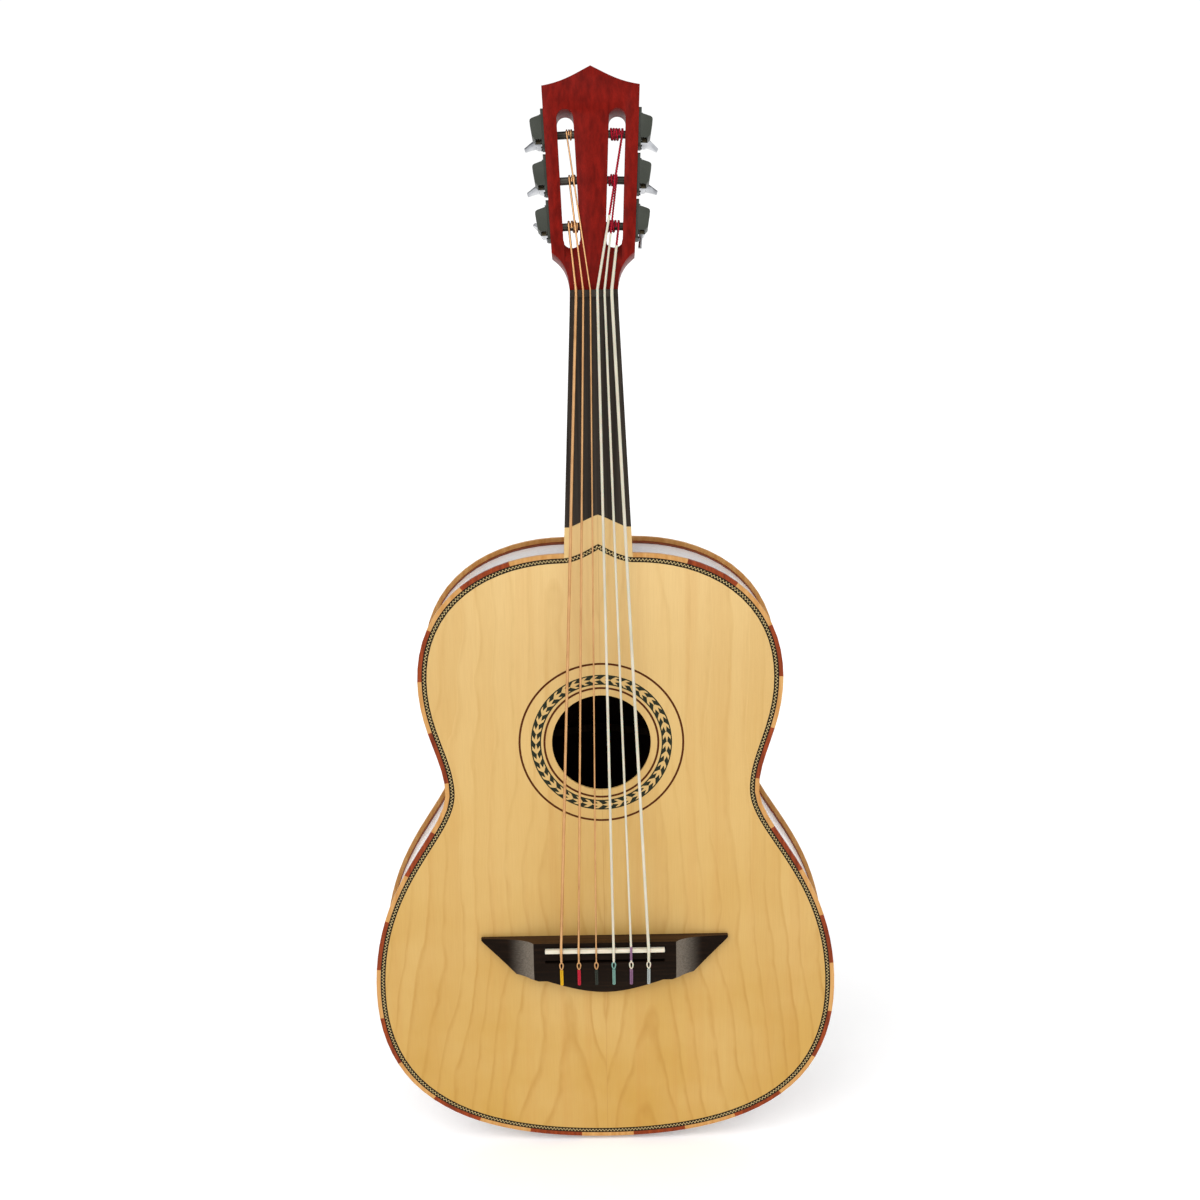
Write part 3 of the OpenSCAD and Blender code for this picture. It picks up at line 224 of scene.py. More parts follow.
def rosetteMosaic():
    made, tree, bsdf, place = freshMaterial("rosetteVeneers", Roughness=0.42, Specular_IOR_Level=0.08)
    r = rosettePlan
    x, _, z = put(tree, "SeparateXYZ", {0: place}).outputs
    up = put(tree, "Math", {0: z, 1: r["centre"]}, operation="SUBTRACT")
    flat = put(tree, "CombineXYZ", {0: x, 1: up})
    radius = put(tree, "VectorMath", {0: flat}, operation="LENGTH").outputs["Value"]
    angle = put(tree, "Math", {0: x, 1: up}, operation="ARCTAN2")
    turn = put(tree, "Math", {0: angle, 1: math.tau / r["leaves"]}, operation="DIVIDE")
    step = put(tree, "Math", {0: turn}, operation="FRACT")
    middle, half = (r["inner"] + r["outer"]) / 2, (r["outer"] - r["inner"]) / 2
    off = put(tree, "Math", {0: radius, 1: middle}, operation="SUBTRACT")
    across = put(tree, "Math", {0: put(tree, "Math", {0: off, 1: half}, operation="DIVIDE")}, operation="ABSOLUTE")
    # the leaf widens from its stem, ends in two side lobes, and a middle spike runs on to the next stem
    rear = put(tree, "Math", {0: step, 1: r["widening"], 2: r["stem"]}, operation="MULTIPLY_ADD")
    rear = put(tree, "Math", {0: rear, 1: r["widest"]}, operation="MINIMUM")
    spike = put(tree, "Math", {0: across, 1: r["spikeSlope"], 2: r["spikeTip"]}, operation="MULTIPLY_ADD")
    lobes = put(tree, "Math", {0: across, 1: r["lobeSlope"], 2: r["lobeFrom"]}, operation="MULTIPLY_ADD")
    front = put(tree, "Math", {0: spike, 1: lobes}, operation="MAXIMUM")
    isWide = put(tree, "Math", {0: across, 1: rear}, operation="LESS_THAN")
    isBehind = put(tree, "Math", {0: step, 1: front}, operation="LESS_THAN")
    leaf = put(tree, "Math", {0: isWide, 1: isBehind}, operation="MULTIPLY")
    ringTone = put(tree, "Mix", {0: leaf, 6: colour("#222a1f"), 7: colour("#d6b273")}, data_type="RGBA")
    isRing = put(tree, "Math", {0: across, 1: r["ringEdge"]}, operation="LESS_THAN")
    tone = put(tree, "Mix", {0: isRing, 6: colour("#52260b"), 7: ringTone}, data_type="RGBA")
    speck = fibres(tree, place, 2, 0.8, 6)
    tone = put(tree, "Mix", {0: put(tree, "Math", {0: speck, 1: 0.2}, operation="MULTIPLY"), 6: tone,
                             7: colour("#3a2412")}, data_type="RGBA")
    relief = put(tree, "Bump", {"Height": speck, "Distance": 0.00003, "Strength": 0.3})
    wire(tree, bsdf, Base_Color=tone, Normal=relief)
    return made


# Purfling: a cream zigzag between black lines; it is broader over the neck joint
purflingLook = {"pitch": 3.6, "swing": 2.6, "cream": 0.4, "moreCream": 0.15, "peakHalf": 34, "peakAbove": -300.0}


def purflingVeneers():
    made, tree, bsdf, place = freshMaterial("purflingVeneers", Roughness=0.45, Specular_IOR_Level=0.08)
    p = purflingLook
    across, _, along = put(tree, "SeparateXYZ", {0: put(tree, "Attribute", attribute_name="sweepPlace").outputs[
        "Vector"]}).outputs
    x, _, z = put(tree, "SeparateXYZ", {0: place}).outputs
    overJoint = put(tree, "Math", {0: put(tree, "Math", {0: x}, operation="ABSOLUTE"), 1: p["peakHalf"]},
                    operation="LESS_THAN")
    high = put(tree, "Math", {0: z, 1: p["peakAbove"]}, operation="GREATER_THAN")
    overJoint = put(tree, "Math", {0: overJoint, 1: high}, operation="MULTIPLY")
    zigzag = put(tree, "Math", {0: along, 1: p["pitch"] / 2}, operation="PINGPONG")
    zigzag = put(tree, "Math", {0: zigzag, 1: 2 * p["swing"] / p["pitch"], 2: -p["swing"] / 2},
                 operation="MULTIPLY_ADD")
    off = put(tree, "Math", {0: across, 1: zigzag}, operation="SUBTRACT")
    off = put(tree, "Math", {0: off}, operation="ABSOLUTE")
    reach = put(tree, "Math", {0: overJoint, 1: p["moreCream"], 2: p["cream"]}, operation="MULTIPLY_ADD")
    cream = put(tree, "Math", {0: off, 1: reach}, operation="LESS_THAN")
    tone = put(tree, "Mix", {0: cream, 6: colour("#1f180e"), 7: colour("#d8bf86")}, data_type="RGBA")
    speck = put(tree, "TexNoise", {0: place, "Scale": 0.9})
    tone = put(tree, "Mix", {0: put(tree, "Math", {0: speck, 1: 0.15}, operation="MULTIPLY"), 6: tone,
                             7: colour("#3d3a2a")}, data_type="RGBA")
    relief = put(tree, "Bump", {"Height": speck, "Distance": 0.00003, "Strength": 0.3})
    wire(tree, bsdf, Base_Color=tone, Normal=relief)
    return made


def woundBronze(coil=0.7):
    # bronze wire laid round a core; coil is its thickness in mm, a little coarser than real, so that it shows
    made, tree, bsdf, place = freshMaterial("phosphorBronzeWire", Roughness=0.34, Metallic=1.0)
    around = put(tree, "SeparateXYZ", {0: put(tree, "Attribute", attribute_name="sweepPlace").outputs["Vector"]})
    turn = put(tree, "Math", {0: around.outputs[2], 1: math.tau / coil}, operation="MULTIPLY")
    crestLightGrooveShade = put(tree, "Math", {0: turn}, operation="SINE")
    height = put(tree, "Math", {0: crestLightGrooveShade, 1: 0.5, 2: 0.5}, operation="MULTIPLY_ADD")
    worn = put(tree, "TexNoise", {0: place, "Scale": 0.06, "Detail": 3.0})
    # painted shade and highlight: the colour is darker between the turns of the wire and lighter on their crests,
    # mixed with random wear
    mixed = put(tree, "Math", {0: worn, 1: 0.5, 2: put(tree, "Math", {0: height, 1: 0.5}, operation="MULTIPLY")},
                operation="MULTIPLY_ADD")
    tone = put(tree, "ValToRGB", {0: mixed}, stops=[(0.15, "#a06a3a"), (0.7, "#ecbc86")])
    relief = put(tree, "Bump", {"Height": height, "Distance": 0.0001, "Strength": 0.5})
    wire(tree, bsdf, Base_Color=tone, Normal=relief)
    return made


def clearNylon():
    # smooth milky monofilament: light goes a little way in
    made, tree, bsdf, place = freshMaterial(
        "clearNylon", Roughness=0.24, Specular_IOR_Level=0.5, IOR=1.53, Subsurface_Weight=0.2,
        Subsurface_Scale=0.002)
    milky = put(tree, "TexNoise", {0: place, "Scale": 0.04, "Detail": 2.0})
    tone = put(tree, "ValToRGB", {0: milky}, stops=[(0.3, "#c2bda8"), (0.7, "#d3cdb9")])
    relief = put(tree, "Bump", {"Height": milky, "Distance": 0.00005, "Strength": 0.2})
    wire(tree, bsdf, Base_Color=tone, Normal=relief)
    return made


def twistedThread(name, light, dark, pitch=0.9, strands=3):
    # silk or cotton thread: filaments that wind round the piece, with the pitch in mm along it
    made, tree, bsdf, place = freshMaterial(name, Roughness=0.55, Specular_IOR_Level=0.12, Sheen_Weight=0.06,
                                            Sheen_Roughness=0.4)
    cosine, sine, along = put(tree, "SeparateXYZ", {0: put(tree, "Attribute", attribute_name="sweepPlace").outputs[
        "Vector"]}).outputs
    angle = put(tree, "Math", {0: sine, 1: cosine}, operation="ARCTAN2")
    run = put(tree, "Math", {0: along, 1: math.tau / pitch}, operation="MULTIPLY")
    phase = put(tree, "Math", {0: angle, 1: float(strands), 2: run}, operation="MULTIPLY_ADD")
    crestLightGrooveShade = put(tree, "Math", {0: put(tree, "Math", {0: phase}, operation="SINE"), 1: 0.5, 2: 0.5},
               operation="MULTIPLY_ADD")
    fuzz = put(tree, "TexNoise", {0: place, "Scale": 1.6, "Detail": 3.0})
    # painted shade and highlight: the thread is darker in the grooves between filaments and lighter on their crests,
    # mixed with random fuzz
    mixed = put(tree, "Math", {0: fuzz, 1: 0.5, 2: put(tree, "Math", {0: crestLightGrooveShade, 1: 0.6}, operation="MULTIPLY")},
                operation="MULTIPLY_ADD")
    tone = put(tree, "ValToRGB", {0: mixed}, stops=[(0.2, dark), (0.8, light)])
    relief = put(tree, "Bump", {"Height": mixed, "Distance": 0.0002, "Strength": 0.7})
    wire(tree, bsdf, Base_Color=tone, Normal=relief)
    return made


def castMetal(name, light, dark, roughness, relief=0.1, metallic=1.0, grit=2.5, shine=0.5):
    # plated, lacquered or blackened metal; the grit is the size of the surface's unevenness in mm
    made, tree, bsdf, place = freshMaterial(name, Roughness=roughness, Metallic=metallic, Specular_IOR_Level=shine)
    worn = put(tree, "TexNoise", {0: place, "Scale": 1 / grit, "Detail": 5.0, "Roughness": 0.6})
    broad = put(tree, "TexNoise", {0: place, "Scale": 0.045, "Detail": 2.0})
    tone = put(tree, "ValToRGB", {0: broad}, stops=[(0.35, dark), (0.65, light)])
    rough = put(tree, "MapRange", {0: worn, 3: max(roughness - 0.05, 0.02), 4: roughness + 0.08})
    bump = put(tree, "Bump", {"Height": worn, "Distance": 0.00004, "Strength": relief})
    wire(tree, bsdf, Base_Color=tone, Roughness=rough, Normal=bump)
    return made


def boneSaddle():
    made, tree, bsdf, place = freshMaterial("polishedBone", Roughness=0.3, Subsurface_Weight=0.1,
                                            Subsurface_Scale=0.002)
    veins = fibres(tree, place, 0, 0.7, 12)
    tone = put(tree, "ValToRGB", {0: veins}, stops=[(0.3, "#c6bda4"), (0.7, "#e6dfce")])
    relief = put(tree, "Bump", {"Height": veins, "Distance": 0.00004, "Strength": 0.3})
    wire(tree, bsdf, Base_Color=tone, Normal=relief)
    return made


topWood = birchTop()
# hardwood sides and back under a hard clear gloss; their pale grey colour is a painted reflection of the white
# surround, over faint bands of grain
sidesPaintedReflection = plainWood("glossSidesPaintedReflection", "#e3e0df", "#d6d2d2", width=1.0, length=150, roughness=0.2, coat=0.3,
                      figure=0.16)
# raw wood inside, painted dark: the inner faces of the sides and back, the braces, linings and tail block carry
# painted shade, so that the soundhole reads as a deep shade
insideWoodPaintedShade = plainWood("rawInsideWoodPaintedShade", "#2e1b13", "#180d09", width=2.0, roughness=0.75, coat=0.0, shine=0.1)
spruceBarsPaintedShade = plainWood("rawSpruceBarsPaintedShade", "#3a2a1d", "#22170f", width=1.5, roughness=0.75, coat=0.0, shine=0.1)
tanBinding = plainWood("tanMapleBinding", "#cf9f62", "#bb8446", width=1.2, length=18, coat=0.05, shine=0.15)
redBinding = plainWood("rosewoodBinding", "#9c441c", "#6f2a10", width=1.0, length=18, coat=0.05, shine=0.12)
edgeStrip = plainWood("rosewoodStrip", "#7d3319", "#521c0c", width=1.0, length=18, coat=0.05, shine=0.12)
# red-stained mahogany under satin lacquer: deep colour, few reflections
redMahogany = plainWood("redStainedMahogany", "#7f150c", "#600c06", width=1.3, length=26, roughness=0.34, coat=0.0,
                        shine=0.05, depth=0.1)
boardWood = plainWood("dyedFingerboard", "#3d362f", "#231c17", width=1.1, length=90, roughness=0.5, coat=0.0,
                      shine=0.12)
bridgeWood = dyedBridge()
# painted highlight: a lighter brown for the faces of the bridge's top edge that look up, where the edge catches the
# light from above
brownEdgePaintedLight = plainWood("bridgeTopEdgePaintedLight", "#4b3520", "#2f2013", along=0, width=1.4, length=40, roughness=0.5,
                      coat=0.0, shine=0.05)
mosaic = rosetteMosaic()
veneers = purflingVeneers()
bronze = woundBronze()
nylonString = clearNylon()
# red silk; its dark tone is the painted shade between filaments
redSilk = twistedThread("redSilk", "#b80f2b", "#3f0410", pitch=2.4)
saddleBone = boneSaddle()
oliveHood = castMetal("oliveLacqueredHood", "#3e413a", "#373a33", 0.42, 0.2, metallic=0.0, shine=0.18)
nickel = castMetal("polishedNickel", "#bcbec2", "#7c7e83", 0.12, 0.05)
blackenedSteel = castMetal("blackenedSteel", "#55514a", "#35322d", 0.32, 0.25)
blackenedBrass = castMetal("blackenedBrass", "#4e4634", "#2c281f", 0.36, 0.3)
print("materials made")


def register(name, mesh, materials, bodyName, slotName, *nodes):
    piece = bpy.data.objects.new(name, mesh)
    bpy.context.scene.collection.objects.link(piece)
    for each in materials:
        mesh.materials.append(each)
    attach(piece, bodyName)
    if nodes:
        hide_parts(*nodes)
    return piece


def smoothUpTo(bm, angle):
    for face in bm.faces:
        face.smooth = True
    for edge in bm.edges:
        edge.smooth = edge.is_manifold and edge.calc_face_angle(0) < math.radians(angle)


def dressed(node, name, material, bevel=0.0, segments=2, flat=1.0, smooth=32, sharp=30, second=None, where=None):
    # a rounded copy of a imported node: merged, cleaned, its sharp edges bevelled; faces that pass where get second
    mesh = frame["nodes"][node].data.copy()
    mesh.materials.clear()
    mesh.name = name
    bm = bmesh.new()
    bm.from_mesh(mesh)
    bmesh.ops.remove_doubles(bm, verts=bm.verts, dist=0.002 * mm)
    bmesh.ops.dissolve_limit(bm, angle_limit=math.radians(flat), verts=bm.verts, edges=bm.edges)
    if bevel:
        edges = [e for e in bm.edges if e.is_manifold and e.calc_face_angle(0) > math.radians(sharp)]
        bmesh.ops.bevel(bm, geom=edges, offset=bevel * mm, offset_type="OFFSET", segments=segments, profile=0.5,
                        affect="EDGES", clamp_overlap=True, material=-1)
    bmesh.ops.recalc_face_normals(bm, faces=bm.faces)
    for face in bm.faces:
        face.material_index = int(where is not None and where(face.calc_center_median() / mm, face.normal))
    smoothUpTo(bm, smooth)
    bm.to_mesh(mesh)
    bm.free()
    return register(name, mesh, [material, second] if second else [material], bodyOf[node], slotOf[node], node)


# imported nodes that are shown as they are; the back's second binding is tan too, so that its edge is one pale band
keptNodes = {
    "soundboard": topWood, "rosette": mosaic, "linings": spruceBarsPaintedShade, "tail_block": spruceBarsPaintedShade,
    "soundboard_braces": spruceBarsPaintedShade, "back_braces": spruceBarsPaintedShade, "fingerboard": boardWood,
    "top_binding_light": tanBinding, "top_binding_dark": redBinding, "back_binding_light": tanBinding,
    "back_binding_dark": tanBinding, "side_purfling": edgeStrip}
for number in range(1, 7):
    keptNodes.update({f"gear_{number}": blackenedBrass, f"worm_{number}": nickel, f"post_{number}": blackenedSteel})
for node, material in keptNodes.items():
    target = frame["nodes"][node]
    if not target.material_slots:
        target.data.materials.append(material)
    for each in target.material_slots:
        each.material = material

# what the strings, the rollers and the head share with the CAD, in mm; sizes are diameters, and lists run from the
# lowest string up. Over, gap, ride and clear are the small distances that keep the strings off what they cross.
strings = {"pitchNut": 7.1, "pitchSaddle": 18.7, "scale": 689, "size": [3.0, 2.3, 1.7, 2.8, 2.4, 3.2],
           "endSize": [2.4, 2.0, 1.7, 2.3, 2.0, 2.3], "turns": [2, 1.5, 1.5, 3.5, 2, 3],
           "meet": [24.1, 22.8, 24.8, 31.3, 24.6, 25.9], "silkFrom": [0, 0, 0, 0.41, 0.44, 0.61],
           "action": 1.2, "nutWidth": 6.9, "saddleTop": 25, "block": 21, "saddleWidth": 4.5, "turnGap": 0.45,
           "over": 0.1, "gap": 0.15, "ride": 0.08, "clear": 0.6, "nylonEnd": 0.85}
rollers = {"first": 65.3, "step": 47, "depth": 9.5, "size": 8, "row": [0, 1, 2, 2, 1, 0]}
head = {"tilt": 18, "drop": 4.4, "lowAt": 38, "topAt": 208.5, "lowWidth": 83, "topWidth": 98.8}

# turns a point of the headstock's own frame, X across, Y into it and Z up its face, into the object's, in mm
headFrame = Matrix.Translation((0, head["drop"], strings["nutWidth"])) @ Matrix.Rotation(
    -math.radians(head["tilt"]), 4, "X")
fromHead = headFrame.inverted()


def sideAt(s):
    share = (s - head["lowAt"]) / (head["topAt"] - head["lowAt"])
    return (head["lowWidth"] + (head["topWidth"] - head["lowWidth"]) * share) / 2


bodyMiddle = -600
backInside = -0.15


def facesIn(centre, normal):
    # the inner face of a bent side looks towards the middle of the body
    return normal.dot(Vector((0, centre.y, bodyMiddle)) - centre) > 0


hub = {"behind": 18.6, "outside": 3.4}


def isHub(centre, normal):
    # the bright bearing block behind each hood, wherever its faces look
    x, y, s = fromHead @ centre
    return y > hub["behind"] and abs(x) > sideAt(s) + hub["outside"]


edgeRounding = {"headstock": 0.8, "nut": 0.4, "bridge": 0.8, "saddle": 0.7, "hood": 1.0, "key": 1.1, "screw": 0.4}
dressed("rib_bass", "bentSideBass", sidesPaintedReflection, smooth=40, second=insideWoodPaintedShade, where=facesIn)
dressed("rib_treble", "bentSideTreble", sidesPaintedReflection, smooth=40, second=insideWoodPaintedShade, where=facesIn)
for tag, label in (("bass", "Bass"), ("treble", "Treble")):
    dressed(f"back_plate_{tag}", f"backPlate{label}", sidesPaintedReflection, flat=0.01, smooth=40, second=insideWoodPaintedShade,
            where=lambda centre, normal: normal.y < backInside)
dressed("neck", "neckWithHeel", redMahogany, flat=0.01, smooth=50)
dressed("headstock", "slottedHeadstock", redMahogany, edgeRounding["headstock"], smooth=35, sharp=40)
dressed("nut", "stringNut", boardWood, edgeRounding["nut"], sharp=60)
# the upward-facing faces of the top edge get the brown of the painted highlight
dressed("bridge", "butterflyBridge", bridgeWood, edgeRounding["bridge"], smooth=20, sharp=30, second=brownEdgePaintedLight,
        where=lambda centre, normal: normal.z > bridgeLook["edgeFacing"] and centre.z > bridgeLook["edgeAbove"])
dressed("saddle", "boneSaddleBar", saddleBone, edgeRounding["saddle"])
dressed("tuner_brackets", "tunerHoods", oliveHood, edgeRounding["hood"], segments=3, sharp=40, second=nickel,
        where=isHub)
dressed("tuner_screws", "tunerScrews", nickel, edgeRounding["screw"], sharp=60)
for number in range(1, 7):
    dressed(f"key_{number}", f"butterflyKey{number}", nickel, edgeRounding["key"], segments=3, sharp=40)
print("wood and metal pieces dressed")


def sweep(name, profile, path, sizes, material, bodyName, slotName, *nodes, side=None, twist=0.0, smooth=50):
    # draws a closed cross-section along a path, in mm; sweepPlace keeps each point's spot in it and the way run
    bm = bmesh.new()
    spot = bm.verts.layers.float_vector.new("sweepPlace")
    path = [Vector(p) for p in path]
    runs = [(path[min(k + 1, len(path) - 1)] - path[max(k - 1, 0)]).normalized() for k in range(len(path))]
    side = (Vector(side) if side else runs[0].orthogonal()).normalized()
    start = Matrix((side, runs[0].cross(side), runs[0])).transposed().to_4x4()
    start = Matrix.Translation(path[0]) @ start @ Matrix.Scale(sizes[0], 4)
    verts = []
    for px, py in profile:
        verts.append(bm.verts.new(start @ Vector((px, py, 0))))
        verts[-1][spot] = (px, py, 0)
    edges = [bm.edges.new((v, verts[(k + 1) % len(verts)])) for k, v in enumerate(verts)]
    length = 0.0
    for k in range(1, len(path)):
        grown = bmesh.ops.extrude_edge_only(bm, edges=edges)["geom"]
        fresh = {g for g in grown if isinstance(g, bmesh.types.BMVert)}
        edges = [g for g in grown if isinstance(g, bmesh.types.BMEdge) and set(g.verts) <= fresh]
        gone = (path[k] - path[k - 1]).length
        length += gone
        turn = runs[k - 1].rotation_difference(runs[k]).to_matrix().to_4x4()
        spin = Matrix.Rotation(math.radians(twist * gone), 4, runs[k])
        move = (Matrix.Translation(path[k]) @ spin @ turn @ Matrix.Scale(sizes[k] / sizes[k - 1], 4)
                @ Matrix.Translation(-path[k - 1]))
        bmesh.ops.transform(bm, matrix=move, verts=list(fresh))
        for v in fresh:
            v[spot] = (v[spot][0], v[spot][1], length)
    bmesh.ops.holes_fill(bm, edges=bm.edges[:], sides=0)
    bmesh.ops.scale(bm, vec=(mm, mm, mm), verts=bm.verts)
    bmesh.ops.recalc_face_normals(bm, faces=bm.faces)
    smoothUpTo(bm, smooth)
    mesh = bpy.data.meshes.new(name)
    bm.to_mesh(mesh)
    bm.free()
    return register(name, mesh, [material], bodyName, slotName, *nodes)


def roundProfile(sides, lobes=0, depth=0.0):
    spots = [math.tau * k / sides for k in range(sides)]
    return [((1 + depth * math.cos(lobes * a)) * math.cos(a), (1 + depth * math.cos(lobes * a)) * math.sin(a))
            for a in spots]


def finer(path, step):
    # the same path with no stretch longer than the step
    made = [path[0]]
    for a, b in zip(path, path[1:]):
        parts = max(1, math.ceil((b - a).length / step))
        made += [a.lerp(b, k / parts) for k in range(1, parts + 1)]
    return made


# the purfling follows the soundboard's edge from the tail round the neck joint and back to the tail
purfling = {"inset": 4.5, "width": 5.2, "depth": 1.2, "proud": 0.03, "jointHalf": 35.3, "peak": 14.5,
            "peakPower": 1.55, "riseSteps": 14,
            "corners": [(35.3, -260), (191, -395), (166, -517), (249, -743), (0, -921.5)],
            "after": [(122.3, -260), (191, -449), (166, -563), (249, -879)],
            "before": [(191, -309), (166, -480), (249, -615), (142, -921.5)]}


def purflingPath(steps=40):
    p = purfling
    edge = []
    for k in range(4):
        a, b, c, d = (Vector(v) for v in (p["corners"][k], p["after"][k], p["before"][k], p["corners"][k + 1]))
        for j in range(steps):
            t = j / steps
            edge.append((1 - t) ** 3 * a + 3 * (1 - t) ** 2 * t * b + 3 * (1 - t) * t * t * c + t ** 3 * d)
    edge.append(Vector(p["corners"][4]))
    inward = p["inset"] + p["width"] / 2
    half = []
    for j, spot in enumerate(edge):
        run = (edge[min(j + 1, len(edge) - 1)] - edge[max(j - 1, 0)]).normalized()
        run = Vector((1, 0)) if j == 0 else Vector((-1, 0)) if j == len(edge) - 1 else run
        half.append(spot + inward * Vector((run.y, -run.x)))
    joint = half[0].y
    share = [k / p["riseSteps"] for k in range(p["riseSteps"])]
    rise = [Vector((p["jointHalf"] * s, joint + p["peak"] * (1 - s) ** p["peakPower"])) for s in share]
    right = [Vector((q.x, 0, q.y)) for q in reversed(half)] + [Vector((q.x, 0, q.y)) for q in reversed(rise)]
    left = [Vector((-q.x, 0, q.z)) for q in reversed(right[:-1])]
    return [q + Vector((0, p["depth"] / 2 - p["proud"], 0)) for q in right + left]


around = purflingPath()
w, d = purfling["width"] / 2, purfling["depth"] / 2
sweep("purflingStrip", [(-w, -d), (w, -d), (w, d), (-w, d)], around, [1] * len(around), veneers, body,
      slotOf["top_purfling"], "top_purfling", side=(0, 0, 1), smooth=30)
print("purfling laid")


def tunerFrame(i):
    # the frame of roller i, X outwards and Z up the head's edge, with the edge's lean and the height up the head
    s = rollers["first"] + rollers["step"] * rollers["row"][i]
    mirror = Matrix.Diagonal((-1 if i < 3 else 1, 1, 1, 1))
    lean = math.atan2((head["topWidth"] - head["lowWidth"]) / 2, head["topAt"] - head["lowAt"])
    place = headFrame @ mirror @ Matrix.Translation((sideAt(s), 0, s)) @ Matrix.Rotation(lean, 4, "Y")
    return place, lean, s


# each string ends in an almond-shaped eye over the tie groove, and a coloured tail doubled back on itself
tie = {"reach": 2.2, "height": 7.5, "strand": 0.75, "knot": 14, "tail": 21.5, "tailStrand": 0.85,
       "slopeFrom": -711.5, "slope": 20.96, "fold": 1.02, "twist": 60}
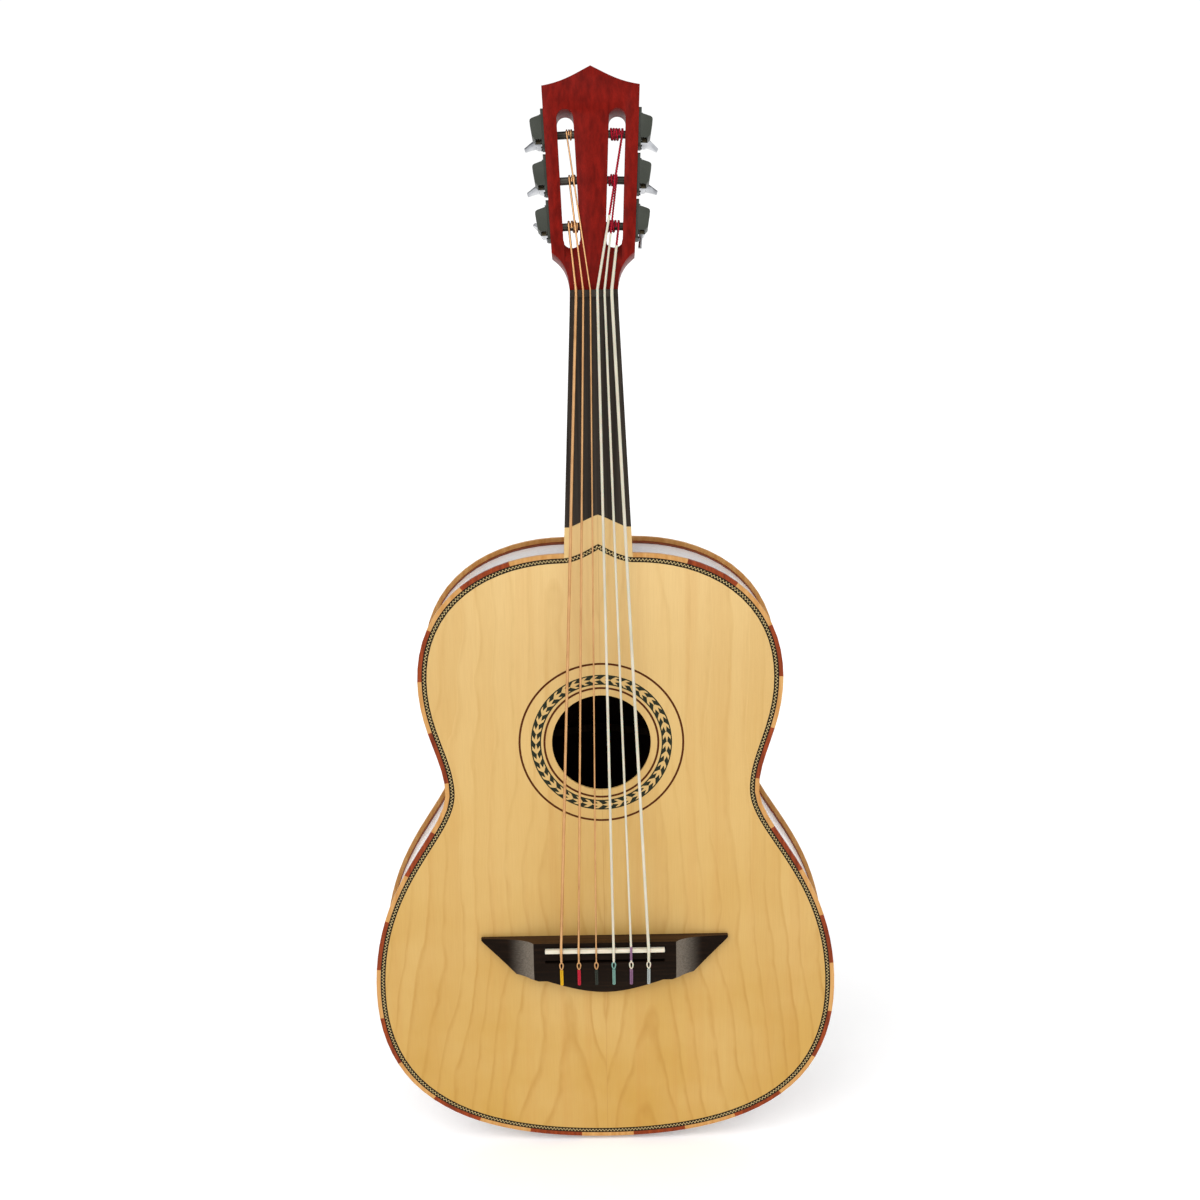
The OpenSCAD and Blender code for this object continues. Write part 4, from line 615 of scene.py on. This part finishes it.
# each tail yarn's colour on its crests, and the darker painted shade in its grooves
tailTones = [("#f0c020", "#b98806"), ("#d8243f", "#8e0d22"), ("#363d35", "#191d18"),
             ("#86ada2", "#4c776c"), ("#96708f", "#664462"), ("#b9c0be", "#868f8d")]
purpleSleeve = {"above": 3.5, "size": 0.06}
rope = {"sides": 18, "lobes": 3, "depth": 0.22, "twist": 42, "ring": 0.7, "startSize": 0.6, "endSize": 0.93,
        "turnSize": 0.96}
saddleZ, halfSaddle, over = -strings["scale"], strings["saddleWidth"] / 2, strings["over"]
knotZ = saddleZ - tie["knot"]
for i in range(6):
    number = i + 1
    r, e = strings["size"][i] / 2, strings["endSize"][i] / 2
    x, nutX = (i - 2.5) * strings["pitchSaddle"], (i - 2.5) * strings["pitchNut"]
    place, lean, s = tunerFrame(i)
    meet = strings["meet"][i]
    out = sideAt(s) - meet
    centre = Vector(((-1 if i < 3 else 1) * meet, rollers["depth"], s + out * math.tan(lean)))
    wrap = rollers["size"] / 2 + e + strings["gap"]
    top, tieY = -strings["saddleTop"] - r - over, -strings["block"] - r - over
    nutY = -strings["action"] - r
    nutBack = Vector((nutX, nutY, strings["nutWidth"] + 0.4 * r))
    meetAt = headFrame @ (centre - Vector((0, wrap, 0)))
    low = [Vector(q) for q in ((x, tieY + r - tie["strand"], knotZ), (x, tieY, knotZ + 2.5),
                               (x, tieY, saddleZ - halfSaddle - 6), (x, top, saddleZ - halfSaddle - 0.4 * r),
                               (x, top, saddleZ + halfSaddle))]
    overRoller = [headFrame @ (centre + Vector((0, -wrap * math.cos(a), wrap * math.sin(a))))
                  for a in [math.pi * k / 12 for k in range(13)]]
    silkStart = nutBack.lerp(meetAt, 0.06 + strings["silkFrom"][i])
    path = low + [Vector((nutX, nutY, 0)), nutBack, silkStart]
    sizes = [tie["strand"], r, r, r, r, r, r, e if i < 3 else r * strings["nylonEnd"]]
    if i < 3:
        path, sizes = path + overRoller, sizes + [e] * 13
    main = bronze if i < 3 else nylonString
    sweep(f"string{number}", roundProfile(14), path, sizes, main, body, slotOf[f"string_{number}"],
          f"string_{number}")
    if i > 2:
        silk = finer([silkStart.lerp(meetAt, -0.02), *overRoller], rope["ring"])
        sweep(f"silkEnd{number}", roundProfile(rope["sides"], rope["lobes"], rope["depth"]), silk,
              [e * rope["startSize"]] + [e * rope["endSize"]] * (len(silk) - 1), redSilk, body,
              slotOf[f"string_{number}"], twist=rope["twist"])
    eye = [Vector((x + tie["reach"] * math.sin(a) * (0.8 + 0.2 * math.cos(a)),
                   -strings["block"] - tie["strand"] - over,
                   knotZ - tie["height"] / 2 + tie["height"] / 2 * math.cos(a)))
           for a in [math.tau * k / 28 for k in range(29)]]
    yarn = twistedThread(f"tailThread{number}", *tailTones[i], pitch=1.2, strands=2)
    sweep(f"stringEye{number}", roundProfile(10), eye, [tie["strand"]] * 29, yarn if i == 3 else main, body,
          slotOf[f"string_{number}"])
    if i == 4:
        above = low[-1].lerp(Vector((nutX, nutY, 0)), purpleSleeve["above"] / strings["scale"])
        sweep("purpleSleeve", roundProfile(14), low[1:] + [above], [r + purpleSleeve["size"]] * 5, yarn, body,
              slotOf["string_5"])
    t = tie["tailStrand"]
    slope = Matrix.Translation((x, -strings["block"], tie["slopeFrom"])) @ Matrix.Rotation(
        math.radians(tie["slope"]), 4, "X")
    fold = t * tie["fold"]
    bend = [Vector((fold * math.cos(a), -t - over, -tie["tail"] + t + fold * math.sin(a)))
            for a in [math.pi + math.pi * k / 10 for k in range(11)]]
    tail = [Vector((-fold, -t - over, 0.5)), *bend, Vector((fold, -t - over, 0.5))]
    tail = finer([slope @ q for q in tail], 1.0)
    sweep(f"stringTail{number}", roundProfile(12, 2, 0.1), tail, [t] * len(tail), yarn, body,
          slotOf[f"string_{number}"], twist=tie["twist"])

    # turns on the roller, wound inwards from where the string arrives
    d = strings["endSize"][i]
    ride = rollers["size"] / 2 + d / 2 + strings["ride"]
    off = out / math.cos(lean) + d + strings["clear"]
    pitch = d + strings["turnGap"]
    steps = round(24 * strings["turns"][i])
    winding = [place @ Vector((-off - pitch * k / 24, rollers["depth"] - ride * math.cos(math.tau * k / 24),
                               ride * math.sin(math.tau * k / 24))) for k in range(steps + 1)]
    winding = [winding[0] - d * (winding[1] - winding[0]).normalized(), *winding,
               winding[-1] + d * (winding[-1] - winding[-2]).normalized()]
    if i < 3:
        sweep(f"rollerTurns{number}", roundProfile(14), winding, [d / 2] * len(winding), bronze, f"roller_{number}",
              slotOf[f"winding_{number}"], f"winding_{number}")
    else:
        winding = finer(winding, rope["ring"])
        sweep(f"rollerTurns{number}", roundProfile(rope["sides"], rope["lobes"], rope["depth"]), winding,
              [d / 2 * rope["turnSize"]] * len(winding), redSilk, f"roller_{number}", slotOf[f"winding_{number}"],
              f"winding_{number}", twist=rope["twist"])
print("strings strung")


# white paper floor, a soft sky that is dimmer low down, and two wide suns for even light
studio = {"floor": -925.5, "floorGlow": 0.12, "skyLow": 0.42, "skyHigh": 0.8, "highAt": 0.8, "seen": 1.05,
          "key": 1.25, "keySpread": 50, "fill": 0.7, "fillSpread": 70}


def stageFloor():
    bm = bmesh.new()
    bmesh.ops.create_grid(bm, x_segments=8, y_segments=8, size=60)
    bmesh.ops.translate(bm, verts=bm.verts, vec=(0, 0, studio["floor"] * mm))
    mesh = bpy.data.meshes.new("paperFloor")
    bm.to_mesh(mesh)
    bm.free()
    made, tree, bsdf, place = freshMaterial("whitePaper", Roughness=1.0, Specular_IOR_Level=0.0,
                                            Emission_Color=(1, 1, 1, 1), Emission_Strength=studio["floorGlow"])
    fibre = put(tree, "TexNoise", {0: place, "Scale": 0.03, "Detail": 4.0})
    wire(tree, bsdf, Base_Color=put(tree, "ValToRGB", {0: fibre}, stops=[(0.3, "#fbfbfb"), (0.7, "#fdfdfd")]))
    mesh.materials.append(made)
    floor = bpy.data.objects.new("paperFloor", mesh)
    bpy.context.scene.collection.objects.link(floor)


def studioSky():
    world = bpy.data.worlds.new("studioAir")
    bpy.context.scene.world = world
    world.use_nodes = True
    tree = world.node_tree
    # the camera sees plain white, and the sky lights the object less from low down
    up = put(tree, "SeparateXYZ", {0: put(tree, "TexCoord").outputs["Generated"]}).outputs["Z"]
    glow = put(tree, "MapRange", {0: up, 1: 0.0, 2: studio["highAt"], 3: studio["skyLow"], 4: studio["skyHigh"]})
    isSeen = put(tree, "LightPath").outputs["Is Camera Ray"]
    strength = put(tree, "Mix", {0: isSeen, 2: glow, 3: studio["seen"]}, data_type="FLOAT")
    background = tree.nodes["Background"]
    background.inputs[0].default_value = colour("#ffffff")
    tree.links.new(strength.outputs[0], background.inputs[1])


def wideSun(name, aim, strength, spread):
    lamp = bpy.data.objects.new(name, bpy.data.lights.new(name, "SUN"))
    lamp.data.energy = strength
    lamp.data.angle = math.radians(spread)
    lamp.rotation_euler = Vector(aim).to_track_quat("-Z", "Y").to_euler()
    bpy.context.scene.collection.objects.link(lamp)


stageFloor()
studioSky()
wideSun("keySun", (0.55, 0.75, -0.8), studio["key"], studio["keySpread"])
wideSun("fillSun", (-0.7, 0.8, -0.6), studio["fill"], studio["fillSpread"])
bpy.context.scene.view_settings.view_transform = "Standard"

# the photograph's camera: target and distance in metres, angles in degrees, lens and sensor in mm
shot = {"target": (0.001, 0, -0.309), "distance": 1.832, "height": 13.5, "roll": -0.95, "lens": 53.3, "sensor": 36,
        "near": 0.01, "far": 200}
camera = bpy.data.objects.new("photoCamera", bpy.data.cameras.new("photoCamera"))
bpy.context.scene.collection.objects.link(camera)
rise = math.radians(shot["height"])
camera.location = Vector(shot["target"]) + shot["distance"] * Vector((0, -math.cos(rise), math.sin(rise)))
aim = (Vector(shot["target"]) - camera.location).to_track_quat("-Z", "Y").to_matrix()
camera.rotation_euler = (aim @ Matrix.Rotation(math.radians(shot["roll"]), 3, "Z")).to_euler()
camera.data.lens = shot["lens"]
camera.data.sensor_width = shot["sensor"]
camera.data.clip_start, camera.data.clip_end = shot["near"], shot["far"]
bpy.context.scene.camera = camera
print("studio set")
